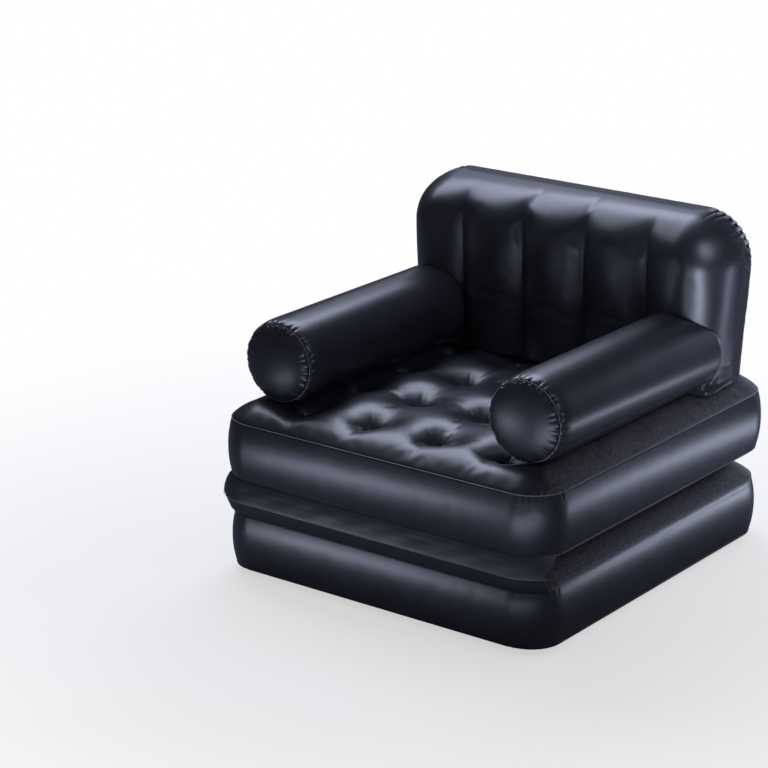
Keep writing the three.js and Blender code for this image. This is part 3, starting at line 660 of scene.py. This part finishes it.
def air_section(name, section):
    """One air section as a closed chamber."""
    chamber = lattice(name, *SECTION_GRID)
    form = section_form(places_of(chamber), section)
    move_to(chamber, form)
    x, y, z = form.T
    rise = places_of(chamber)[:, 2]
    inward = inside(x, y, HALF_X, HALF_Y, CORNER)
    held = (np.abs(rise) > ON_SHEET) & ((nearest_tuft(x, y)[2] < TUFT_WELD) | (inward < 0.004))
    held |= z < 0.002
    blow_up(chamber, held, *SECTION_AIR)
    refine(chamber)
    if section is SEAT:
        refine(chamber, near_tuft)
        refine(chamber, near_corner_weld)
    places = places_of(chamber)
    share = np.full(len(places), BAND_SWELL_SHARE)
    share[places[:, 2] > ON_SHEET] = TOP_SWELL_SHARE if section is SEAT else 0
    share[places[:, 2] < -ON_SHEET] = 0
    form = section_form(places, section) + swell_of(chamber, rounds=5) * share[:, None]
    move_to(chamber, form)
    press(chamber, corner_pleats(form, section["top"]))
    keep(chamber, "matt_share", matt_share(form, section))
    return chamber


# Backrest

def foot_share(z):
    """How far the backrest's outer parts draw in towards its foot."""
    rise = np.clip((z - BACK_FOOT) / FOOT_TAPER, 0, 1)
    narrowest = (FOOT_HALF - OUTER_VALLEY) / (BACK_HALF - OUTER_VALLEY)
    return 1 - (1 - narrowest) * (1 - rise) ** FOOT_CURVE


def back_top_at(x):
    """Height of the backrest's outline above a place across it."""
    over = np.clip(np.abs(x) - BACK_STRAIGHT, 0, BACK_CORNER)
    return BACK_SHOULDER + np.sqrt(BACK_CORNER ** 2 - over ** 2)


def back_height(v, x):
    """Height of a lattice place: v goes from -1 at the foot to 1 on the outline."""
    return BACK_FOOT + (v + 1) / 2 * (back_top_at(x) - BACK_FOOT)


def channel_swell(x, z):
    """1 on the crown of each channel and 0 on the valleys, fading out under the top roll."""
    past = np.abs(x) - OUTER_VALLEY
    across = np.where(past > 0, past / (BACK_HALF - OUTER_VALLEY), past / CHANNEL + 4) % 1
    fade = smooth_step(0, CHANNEL_FADE, BACK_TOP - CHANNEL_END - z)
    swell = np.maximum(1 - (2 * across - 1) ** 2, 0) ** CHANNEL_ROUND
    return 1 - (1 - swell) * fade


def back_depth(x, z, sheet):
    """Depth of one sheet off the seam plane: an even roll in front, a slow dome at the rear."""
    full = sheet["depth"] + sheet["bulge"] * channel_swell(x, z)
    if sheet is BACK_REAR:
        side = np.clip(1 - (BACK_HALF - np.abs(x)) / sheet["roll"], 0, 1)
        top = np.clip(1 - (back_top_at(x) - z) / sheet["roll"], 0, 1)
        return BACK_RIM + full * np.sqrt((1 - side ** 3) * (1 - top ** 3))
    middle = (BACK_TOP + BACK_FOOT) / 2
    inward = inside(x, np.maximum(z - middle, 0), BACK_HALF, BACK_TOP - middle, BACK_CORNER)
    share = np.clip(inward / sheet["roll"], 0, 1)
    return BACK_RIM + full * np.sqrt(1 - (1 - share) ** 2)


def back_form(places):
    """The backrest from its lattice: u across, v up, w from the rear sheet to the front one."""
    u, v, w = places.T
    x = u * BACK_HALF
    z = back_height(v, x)
    front = back_depth(x, z, BACK_FRONT)
    rear = back_depth(x, z, BACK_REAR)
    drawn_in = np.sign(x) * np.maximum(np.abs(x) - OUTER_VALLEY, 0) * (1 - foot_share(z))
    y = BACK_SEAM_Y + np.where(w > 0, -front * w, -rear * w)
    round_share = (BACK_HALF - np.abs(x)) / BACK_FRONT["roll"]
    rise = np.maximum(z - BACK_FOOT, 0)
    middle, width = FOOT_EAR_ROUND
    ear = np.exp(-((round_share - middle) / width) ** 2 - (rise / FOOT_EAR_HEIGHT) ** 1.5)
    ear *= np.maximum(w, 0)
    x = x - drawn_in + np.sign(x) * FOOT_EAR[0] * ear
    return stacked(x, y - FOOT_EAR[1] * ear, z)


def foot_creases(points):
    """Depth of the star of creases above the ear at each front foot corner."""
    x, y, z = points.T
    along = ((np.abs(x) - FOOT_EAR_PLACE[0]) + (y - FOOT_EAR_PLACE[1])) * math.sqrt(0.5)
    far = np.hypot(along, z - BACK_FOOT)
    star = folds(np.arctan2(z - BACK_FOOT, along), np.radians(FOOT_MARKS), far, PLEAT_WIDTH)
    corner = (np.abs(x) > 0.36) & (y < BACK_SEAM_Y - 0.03)
    fade = smooth_step(0.006, 0.016, far) * np.exp(-(far / 0.050) ** 2)
    return FOOT_CREASE * star * corner * fade


def near_foot_corner(centres):
    """Which faces lie round the ear at each front foot corner."""
    across = np.abs(centres[:, 0]) * BACK_HALF
    return (across > 0.39) & (centres[:, 1] < -0.72) & (centres[:, 2] > 0.2)


def back_pleats(points):
    """Depth of the pleats where the edge weld turns the two top corners."""
    x, y, z = points.T
    over_x, over_z = np.abs(x) - BACK_STRAIGHT, z - BACK_SHOULDER
    angle = np.arctan2(over_z, over_x)
    corner = smooth_step(-0.01, 0.02, over_x) * smooth_step(-0.02, 0.02, over_z)
    away = np.abs(BACK_CORNER - np.hypot(over_x, over_z)) + 0.6 * np.abs(y - BACK_SEAM_Y)
    lines = folds(angle, np.radians(BACK_MARKS), BACK_CORNER, PLEAT_WIDTH)
    fade = np.exp(-(away / 0.030) ** 2)
    return sizes().pleat_depth * BACK_PLEATS * lines * corner * fade


def near_back_corner(centres):
    """Which faces lie on the backrest's pleated corners."""
    x = np.abs(centres[:, 0]) * BACK_HALF
    z = back_height(centres[:, 1], x)
    rim = np.hypot(x - BACK_STRAIGHT, z - BACK_SHOULDER) > BACK_CORNER - 0.04
    return rim & (x > BACK_STRAIGHT) & (z > BACK_SHOULDER)


def backrest(name):
    """The channelled backrest as a closed chamber."""
    back = lattice(name, *BACK_GRID)
    form = back_form(places_of(back))
    move_to(back, form)
    u, v, w = places_of(back).T
    across = np.abs(u) * BACK_HALF
    off_valley = np.minimum(np.abs(across - OUTER_VALLEY), np.abs(across - CHANNEL / 2))
    valley = (w > 0.9) & (off_valley < 1 / BACK_GRID[0] * BACK_HALF)
    held = (valley & (form[:, 2] < BACK_TOP - 0.08)) | (np.abs(w) < 0.4) | (v < -0.99)
    blow_up(back, held, *BACK_AIR)
    refine(back)
    refine(back, near_back_corner)
    refine(back, near_foot_corner)
    form = back_form(places_of(back)) + swell_of(back, rounds=8)
    move_to(back, form)
    press(back, back_pleats(form) + foot_creases(form))
    return back


def web_form(places, valley):
    """An upright web on one valley, from a flat grid: u from the rear sheet forward, v upwards."""
    u, v = places[:, 0], places[:, 1]
    low, high = BACK_FOOT + WEB_GAP, back_top_at(valley) - WEB_TOP_GAP
    z = low + (v + 1) / 2 * (high - low)
    front = back_depth(valley, z, BACK_FRONT) - WEB_GAP
    rear = back_depth(valley, z, BACK_REAR) - WEB_GAP
    return stacked(valley, BACK_SEAM_Y - u * np.where(u > 0, front, rear), z)


# Arms

def back_face_behind(x, z):
    """Where the backrest's front face lies behind a point of an arm."""
    size = np.abs(x)
    plain = np.where(size > OUTER_VALLEY,
                     OUTER_VALLEY + (size - OUTER_VALLEY) / foot_share(z), size)
    face = BACK_SEAM_Y - back_depth(np.minimum(plain, BACK_HALF), z, BACK_FRONT)
    return rounded_least(face - ARM_GAP, ARM_REAR, ARM_REAR_BLEND)


def arm_profile(count):
    """Two curves over the half turn from pole to pole: the radius, and the place along the arm.

    The front dome comes first, then the tube, longer than needed, and then the flat rear end."""
    radius = np.empty(count)
    along = np.empty(count)
    shares = np.linspace(0, 1, count)
    for i, share in enumerate(shares):
        if share < ARM_DOME_END:
            turn = share / ARM_DOME_END * math.pi / 2
            radius[i] = ARM_RIM * math.sin(turn)
            along[i] = ARM_FRONT - ARM_DOME * math.cos(turn) ** 1.1
        elif share < ARM_TUBE_END:
            reach = (share - ARM_DOME_END) / (ARM_TUBE_END - ARM_DOME_END)
            along[i] = ARM_FRONT + ARM_REACH * reach ** ARM_SPACING
            shoulder = min((along[i] - ARM_FRONT) / ARM_SHOULDER, 1)
            radius[i] = ARM_RIM + (ARM_RADIUS - ARM_RIM) * math.sqrt(1 - (1 - shoulder) ** 2)
        else:
            radius[i] = ARM_RADIUS * (1 - (share - ARM_TUBE_END) / (1 - ARM_TUBE_END))
            along[i] = 1.0
    return (shares, radius), (shares, along)


def round_arm(side, radius, turn):
    """Places across and up, from the distance to an arm's axis and the turn round it."""
    return side * ARM_X + radius * np.cos(turn), ARM_Z + radius * np.sin(turn)


def radius_of(points, side):
    """Distance from the arm's axis."""
    return np.hypot(points[:, 0] - side * ARM_X, points[:, 2] - ARM_Z)


def rim_marks():
    """Angles of the pleats round an arm's rim, not quite even."""
    return [2 * math.pi * (k + 0.3 * math.sin(k * 2.7)) / RIM_PLEATS for k in range(RIM_PLEATS)]


def half_turn(places):
    """How far places lie from the sphere's front pole towards its rear one, from 0 to 1."""
    height = places[:, 2] / np.linalg.norm(places, axis=1)
    return np.arccos(np.clip(height, -1, 1)) / math.pi


def arm_form(places, side):
    """An arm from a unit sphere: the sphere's rings moved onto the arm's profile."""
    polar = half_turn(places)
    angle = np.arctan2(places[:, 1], places[:, 0])
    radius, y = (np.interp(polar, *curve) for curve in arm_profile(ARM_STEPS))

    def ring_point(radius):
        x, z = round_arm(side, radius, angle)
        return x, np.maximum(z, SEAT_SURFACE + (ARM_RADIUS - radius) / 3)

    end = back_face_behind(*ring_point(radius))
    y = rounded_least(y, end, ARM_REAR_ROUND)
    near = 1 - np.clip((end - y) / ARM_REAR_ROUND, 0, 1)
    radius = np.minimum(radius, ARM_RADIUS - ARM_REAR_ROUND * (1 - np.sqrt(1 - near ** 2)))
    x, z = ring_point(radius)
    return stacked(x, np.minimum(y, back_face_behind(x, z)), z)


def near_rim(centres):
    """Which faces lie beside an arm's front rim."""
    return np.abs(half_turn(centres) - ARM_DOME_END) < 0.035


def arm_chamber(name, side):
    """One arm as a closed chamber: a sphere's rings moved onto the arm's profile."""
    arm = begin(name, bpy.ops.mesh.primitive_uv_sphere_add, segments=ARM_SEGMENTS,
                ring_count=ARM_RINGS, radius=1)
    keep(arm, "plain_place", points_of(arm))
    form = arm_form(places_of(arm), side)
    move_to(arm, form)
    face_outward(arm)
    y, z = form[:, 1], form[:, 2]
    held = (np.abs(y - ARM_FRONT) < 0.003) & (radius_of(form, side) > ARM_RIM - 0.003)
    held |= (z < SEAT_SURFACE + 0.004) | (y > ARM_REAR - 0.09)
    blow_up(arm, held, *ARM_AIR)
    refine(arm)
    refine(arm, near_rim)
    form = arm_form(places_of(arm), side) + swell_of(arm)
    move_to(arm, form)
    x, y, z = form.T
    lines = folds(np.arctan2(z - ARM_Z, x - side * ARM_X), rim_marks(), ARM_RIM, PLEAT_WIDTH)
    away = np.abs(y - ARM_FRONT) + np.abs(ARM_RIM - radius_of(form, side)) * 0.8
    press(arm, RIM_PLEAT * lines * np.exp(-(away / 0.015) ** 1.5)
          + RIM_GROOVE * np.exp(-(away / 0.0032) ** 2))
    return arm


# Flap and welds

def thicken(piece):
    """Gives a single sheet the vinyl's thickness, with its faces outward."""
    only(piece)
    wall = piece.modifiers.new("thickness", "SOLIDIFY")
    wall.thickness = SHEET_THICKNESS
    wall.offset = 0
    bpy.ops.object.modifier_apply(modifier=wall.name)
    face_outward(piece)


def plan_point(along, out):
    """A point of the sections' plan outline: metres along from the front's middle, and out."""
    size = np.abs(along)
    turn = np.maximum(size - STRAIGHT_X, 0) / CORNER
    x = np.minimum(size, STRAIGHT_X) + (CORNER + out) * np.sin(turn)
    y = -STRAIGHT_Y - (CORNER + out) * np.cos(turn)
    return np.sign(along) * x, y


def flap_form(places):
    """The hinge flap from a flat grid: u along the front and round its corners, v upwards.

    Slow waves run along its upper and lower halves, and it puckers at its two ends."""
    u, v = places[:, 0], places[:, 1]
    drop = (1 - v) / 2
    right_end = FLAP_RIGHT - np.interp(drop, (0, 0.62, 1), FLAP_SLANT)
    along = np.where(u > 0, u * right_end, u * FLAP_LEFT)
    z = np.interp(drop, FLAP_DROPS, FLAP_HEIGHTS)
    out = np.interp(drop, FLAP_DROPS, FLAP_OUTS)
    upper = np.clip(1 - np.abs(drop - 0.32) / 0.3, 0, 1)
    lower = np.clip(1 - np.abs(drop - 0.8) / 0.18, 0, 1)
    wave = np.sin(along * 23 + 1.0) * np.sin(along * 9.7) + 0.5 * np.sin(along * 61 + drop * 9)
    out = out + FLAP_WAVES[0] * wave * upper + FLAP_WAVES[1] * np.sin(along * 47 + 2) * lower
    ends = np.exp(-((FLAP_LEFT - np.abs(along)) / 0.035) ** 2)
    pucker = np.abs(np.sin(along * 420 + drop * 14)) * ends
    out = out - FLAP_PUCKERS[0] * pucker * np.exp(-(drop / 0.30) ** 2)
    out = out - FLAP_PUCKERS[1] * pucker * lower
    z = z + 0.010 * ends * np.sin(np.pi * drop) * (u < 0)
    return stacked(*plan_point(along, out), z)


def bead(name, path, share, body="seat_and_back", closed=True, finish="weld"):
    """A thin welded edge: a ring of points moved onto a path, then given a round section.

    share is its part of the section welds' width."""
    line = begin(name, bpy.ops.mesh.primitive_circle_add, vertices=len(path), radius=1)
    move_to(line, path)
    if not closed:
        last = [set(edge.vertices) == {0, len(path) - 1} for edge in line.data.edges]
        with editing(line, "EDGE", last):
            bpy.ops.mesh.delete(type="EDGE")
    only(line)
    bpy.ops.object.convert(target="CURVE")
    line.data.bevel_depth = share * sizes().weld_width / 2
    line.data.bevel_resolution = 1
    line.data.use_fill_caps = not closed
    bpy.ops.object.convert(target="MESH")
    return dress(line, finish, body, "vinyl")


def section_weld(section, height):
    """Points of a section's weld, all round, following the pleats of its corners."""
    quarter = np.linspace(0, 1, 61)
    path = []
    for turn_x, turn_y, start in ((1, 1, 0), (-1, 1, 90), (-1, -1, 180), (1, -1, 270)):
        angle = np.radians(start + 90 * quarter)
        path.append(stacked(turn_x * STRAIGHT_X + (CORNER + WELD_PROUD) * np.cos(angle),
                            turn_y * STRAIGHT_Y + (CORNER + WELD_PROUD) * np.sin(angle)))
    plan = np.concatenate(path)
    points = stacked(*plan.T, height)
    depth = corner_pleats(points, height) * 0.7
    way = plan - np.clip(plan, (-STRAIGHT_X, -STRAIGHT_Y), (STRAIGHT_X, STRAIGHT_Y))
    way /= np.linalg.norm(way, axis=1)[:, None]
    points[:, :2] -= way * depth[:, None]
    points[:, 0] *= 1 - section["trim"] / HALF_X
    return points


def back_weld():
    """Points of the backrest's edge weld, from one foot over the top to the other.

    Short ticks in the weld's pale finish cross it at the pleats of the two top corners: painted
    highlights on the pleats."""
    rise = np.linspace(BACK_FOOT + 0.004, BACK_SHOULDER, 40)
    angle = np.radians(np.linspace(0, 90, 80))
    x = np.concatenate([np.full(40, BACK_HALF), BACK_STRAIGHT + BACK_CORNER * np.cos(angle)])
    z = np.concatenate([rise, BACK_SHOULDER + BACK_CORNER * np.sin(angle)])
    x = x - np.maximum(x - OUTER_VALLEY, 0) * (1 - foot_share(z))
    side = stacked(x, BACK_SEAM_Y, z)
    depth = back_pleats(side) * 0.8
    way = stacked(x - BACK_STRAIGHT, z - BACK_SHOULDER)
    way /= np.maximum(np.linalg.norm(way, axis=1), 1e-9)[:, None]
    side[:, ::2] -= way * depth[:, None]
    # Each tick is a painted highlight on a pleat
    with_highlight_ticks = []  # near each mark the line goes out to the tick's end and comes back
    for point, out, turn in zip(side, way, np.degrees(np.arctan2(way[:, 1], way[:, 0]))):
        with_highlight_ticks.append(point)
        if point[2] > BACK_SHOULDER and min(abs(turn - mark) for mark in HIGHLIGHT_TICK_MARKS) < HIGHLIGHT_TICK_REACH:
            with_highlight_ticks += [point + (out[0] * WELD_PROUD, -length, out[1] * WELD_PROUD)
                           for length in (0.5 * HIGHLIGHT_TICK_LENGTH, HIGHLIGHT_TICK_LENGTH)]
            with_highlight_ticks.append(point)
    side = np.array(with_highlight_ticks)
    return np.concatenate([side, side[::-1] * (-1, 1, 1)])


# Stage

def seen_directly(tree):
    """1 on the camera's rays, straight or through glass; the black vinyl mirrors the studio."""
    rays = add_node(tree, "ShaderNodeLightPath").outputs
    return add_node(tree, "ShaderNodeMath", {
        0: rays["Is Camera Ray"], 1: rays["Is Transmission Ray"]}, operation="MAXIMUM").outputs[0]


def sweep_material():
    """Pale paper sweep: mid grey to everything but the camera, and clear far from the chair."""
    cover = bpy.data.materials.new("white_paper_sweep")
    tree = bare_tree(cover)
    place = add_node(tree, "ShaderNodeTexCoord").outputs["Object"]
    far = add_node(tree, "ShaderNodeVectorMath", {0: place}, operation="LENGTH")
    edge = add_node(tree, "ShaderNodeMapRange", {"Value": far.outputs["Value"]},
                    {"From Min": 0.9, "From Max": 2.2}, interpolation_type="SMOOTHSTEP")
    grey = add_node(tree, "ShaderNodeBsdfDiffuse", {}, {"Color": linear("#686a74")})
    paper = add_node(tree, "ShaderNodeBsdfDiffuse", {}, {"Color": linear("#dedbd6")})
    lit = add_node(tree, "ShaderNodeEmission", {}, {"Color": linear("#ffffff")})
    clear = add_node(tree, "ShaderNodeBsdfTransparent")
    pale = add_node(tree, "ShaderNodeMixShader", {1: paper.outputs[0], 2: lit.outputs[0]},
                    {0: PAPER_GLOW})
    seen = mix_shader(tree, edge.outputs["Result"], pale, clear)
    mix = mix_shader(tree, seen_directly(tree), grey, seen)
    add_node(tree, "ShaderNodeOutputMaterial", {"Surface": mix.outputs[0]})
    return cover


# Operators

class ChairSizes(bpy.types.PropertyGroup):
    """Sizes that a user would change."""

    tuft_depth: bpy.props.FloatProperty(
        name="Tuft depth", description="How deep the seat's pits go below the swell between them",
        default=0.048, min=0.02, max=0.052, unit="LENGTH")
    pleat_depth: bpy.props.FloatProperty(
        name="Pleat depth", description="Depth of the pleats where a weld turns a corner",
        default=0.0024, min=0, max=0.005, unit="LENGTH")
    weld_width: bpy.props.FloatProperty(
        name="Weld width", description="Width of the raised edge of the sections' welds",
        default=0.0018, min=0.0005, max=0.004, unit="LENGTH")
    air_pressure: bpy.props.FloatProperty(
        name="Air pressure", description="Pressure that swells the sheets between their welds",
        default=4.0, min=0, max=8)


class ChairColours(bpy.types.PropertyGroup):
    """Colours that a user would change."""

    vinyl: bpy.props.FloatVectorProperty(
        name="Vinyl", description="Darker tone of the satin sheets",
        default=linear("#17171d"), size=4, min=0, max=1, subtype="COLOR")
    vinyl_pale: bpy.props.FloatVectorProperty(
        name="Vinyl, pale", description="Paler tone of the satin sheets' slow variation",
        default=linear("#1d1d25"), size=4, min=0, max=1, subtype="COLOR")
    # The weld colour: the grey of the welded edge, made paler to paint a highlight along each seam
    weld: bpy.props.FloatVectorProperty(
        name="Weld", description="Worn edge of the heat-welded seams",
        default=linear("#5c5a5a"), size=4, min=0, max=1, subtype="COLOR")


def sizes():
    """The sizes set for this scene."""
    return bpy.context.scene.chair_sizes


class CHAIR_OT_stage(bpy.types.Operator):
    """Camera, floor, lamps and world"""

    bl_idname = "chair.stage"
    bl_label = "Stage"

    def execute(self, context):
        scene = context.scene
        scene.view_settings.view_transform = "Standard"
        lens = bpy.data.cameras.new("camera")
        lens.lens, lens.sensor_width = LENS, SENSOR
        camera = bpy.data.objects.new("camera", lens)
        scene.collection.objects.link(camera)
        turn = Matrix(CAMERA_AXES).transposed()
        camera.matrix_world = Matrix.Translation(CAMERA_PLACE) @ turn.to_4x4()
        scene.camera = camera

        floor = begin("floor", bpy.ops.mesh.primitive_plane_add, size=40, location=(0, 0, -0.0005))
        floor.data.materials.append(sweep_material())

        world = bpy.data.worlds.new("studio")
        scene.world = world
        tree = bare_tree(world)
        diffuse = add_node(tree, "ShaderNodeLightPath").outputs["Is Diffuse Ray"]
        dim, fill, white = (
            add_node(tree, "ShaderNodeBackground", {}, {"Color": linear(tone), "Strength": power})
            for tone, power in (("#aab2c4", 0.10), ("#f4f6ff", 0.55), ("#ffffff", 1.0)))
        soft = mix_shader(tree, diffuse, dim, fill)
        mix = mix_shader(tree, seen_directly(tree), soft, white)
        add_node(tree, "ShaderNodeOutputWorld", {"Surface": mix.outputs[0]})

        for name, at, aim, size, power, beam in SOFTBOXES:
            lamp = begin(name, bpy.ops.object.light_add, type="AREA", location=at)
            lamp.data.shape = "RECTANGLE"
            lamp.data.size, lamp.data.size_y = size
            lamp.data.energy = power
            lamp.data.spread = math.radians(beam)
            lamp.data.color = linear(LAMP_COLOUR)[:3]
            lamp.visible_camera = False
            way = Vector(aim) - Vector(at)
            lamp.rotation_euler = way.to_track_quat("-Z", "Y").to_euler()
        return {"FINISHED"}


class CHAIR_OT_sections(bpy.types.Operator):
    """The two air sections"""

    bl_idname = "chair.sections"
    bl_label = "Air sections"

    def execute(self, context):
        for name, section, body in SECTIONS:
            chamber = air_section(f"{name}_chamber", section)
            dress(chamber, "section", body, "vinyl",
                  f"{name}_top_sheet", f"{name}_side_band", f"{name}_bottom_sheet")
        return {"FINISHED"}


class CHAIR_OT_backrest(bpy.types.Operator):
    """The channelled backrest"""

    bl_idname = "chair.backrest"
    bl_label = "Backrest"

    def execute(self, context):
        back = backrest("backrest_chamber")
        dress(back, "vinyl", "seat_and_back", "vinyl",
              "backrest_front_sheet", "backrest_rear_sheet", "backrest_bottom_panel")
        valleys = (-OUTER_VALLEY, -CHANNEL / 2, CHANNEL / 2, OUTER_VALLEY)
        for number, valley in enumerate(valleys, start=1):
            web = flat_grid(f"backrest_web_{number}_sheet", *WEB_GRID)
            form = web_form(points_of(web), valley)
            move_to(web, form)
            thicken(web)
            dress(web, "inner", "seat_and_back", "inner_vinyl", f"backrest_web_{number}")
        return {"FINISHED"}


class CHAIR_OT_arms(bpy.types.Operator):
    """The two cylindrical arms"""

    bl_idname = "chair.arms"
    bl_label = "Arms"

    def execute(self, context):
        for side, name in SIDES:
            arm = arm_chamber(f"arm_{name}_chamber", side)
            dress(arm, "vinyl", "seat_and_back", "vinyl",
                  f"arm_{name}_tube", f"arm_{name}_front_disc", f"arm_{name}_rear_disc")
        return {"FINISHED"}


class CHAIR_OT_flap(bpy.types.Operator):
    """The hinge flap across the front"""

    bl_idname = "chair.flap"
    bl_label = "Hinge flap"

    def execute(self, context):
        flap = flat_grid("hinge_flap_skin", *FLAP_GRID)
        move_to(flap, flap_form(points_of(flap)))
        thicken(flap)
        dress(flap, "flap", None, "vinyl", "hinge_flap")
        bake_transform(flap)
        return {"FINISHED"}


class CHAIR_OT_welds(bpy.types.Operator):
    """The welded edges of the chambers"""

    bl_idname = "chair.welds"
    bl_label = "Welds"

    def execute(self, context):
        for name, section, body in SECTIONS:
            for edge in ("top", "bottom"):
                # The base's bottom weld takes the plain sheet finish, so that no painted highlight
                # line shows where it sits low in shade
                low = name == "base" and edge == "bottom"
                bead(f"{name}_{edge}_weld", section_weld(section, section[edge]), 1, body,
                     finish="vinyl" if low else "weld")
        bead("backrest_edge_weld", back_weld(), 1.1, closed=False)
        along = np.linspace(-0.478, 0.470, 300)
        crest = FLAP_OUTS.index(max(FLAP_OUTS))
        ridge = stacked(*plan_point(along, FLAP_OUTS[crest] + WELD_PROUD),
                        FLAP_HEIGHTS[crest] - WELD_PROUD)
        seam = bead("hinge_flap_weld", ridge, 0.7, None, closed=False)
        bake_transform(seam)
        for side, name in SIDES:
            turn = np.linspace(0, 2 * math.pi, 360, endpoint=False)
            pleats = RIM_WELD_PLEAT * folds(turn, rim_marks(), ARM_RIM, PLEAT_WIDTH)
            x, z = round_arm(side, ARM_RIM + RIM_WELD_PROUD - pleats, turn)
            bead(f"arm_{name}_rim_weld", stacked(x, ARM_FRONT, z), 0.8)
            turn = math.radians(LONG_WELD_TURN if side > 0 else 180 - LONG_WELD_TURN)
            x, z = round_arm(side, ARM_RADIUS + LONG_WELD_PROUD, turn)
            y = np.linspace(*LONG_WELD_ENDS, 60)
            bead(f"arm_{name}_long_weld", stacked(x, y, z), 0.7, closed=False, finish="vinyl")
        return {"FINISHED"}


class CHAIR_OT_carried(bpy.types.Operator):
    """Finishes for the pieces that keep the frame's own shape"""

    bl_idname = "chair.carried"
    bl_label = "Valves and coils"

    def execute(self, context):
        finish = materials()
        kinds = {"vinyl": "vinyl", "inner_vinyl": "inner", "valve_plastic": "plastic",
                 "seal_rubber": "rubber"}
        for entry in frame["record"]["subparts"]:
            node = frame["nodes"][entry["node"]]
            node.data.materials.clear()
            node.data.materials.append(finish[kinds[entry["material_slot"]]])
        return {"FINISHED"}


class CHAIR_PT_panel(bpy.types.Panel):
    """Lists the chair's steps in the sidebar"""

    bl_idname = "CHAIR_PT_panel"
    bl_label = "Inflatable chair"
    bl_space_type = "VIEW_3D"
    bl_region_type = "UI"
    bl_category = "Chair"

    def draw(self, context):
        for settings in (context.scene.chair_sizes, context.scene.chair_colours):
            for name in settings.__annotations__:
                self.layout.prop(settings, name)
        for step in STEPS:
            self.layout.operator(step.bl_idname)


STEPS = (CHAIR_OT_stage, CHAIR_OT_carried, CHAIR_OT_sections, CHAIR_OT_backrest, CHAIR_OT_arms,
         CHAIR_OT_flap, CHAIR_OT_welds)
CLASSES = (ChairSizes, ChairColours, *STEPS, CHAIR_PT_panel)


def register():
    for kind in CLASSES:
        bpy.utils.register_class(kind)
    bpy.types.Scene.chair_sizes = bpy.props.PointerProperty(type=ChairSizes)
    bpy.types.Scene.chair_colours = bpy.props.PointerProperty(type=ChairColours)


def unregister():
    del bpy.types.Scene.chair_sizes
    del bpy.types.Scene.chair_colours
    for kind in reversed(CLASSES):
        bpy.utils.unregister_class(kind)


def main():
    register()
    bpy.ops.chair.stage()
    bpy.ops.chair.carried()
    bpy.ops.chair.sections()
    bpy.ops.chair.backrest()
    bpy.ops.chair.arms()
    bpy.ops.chair.flap()
    bpy.ops.chair.welds()


if __name__ == "__main__":
    main()
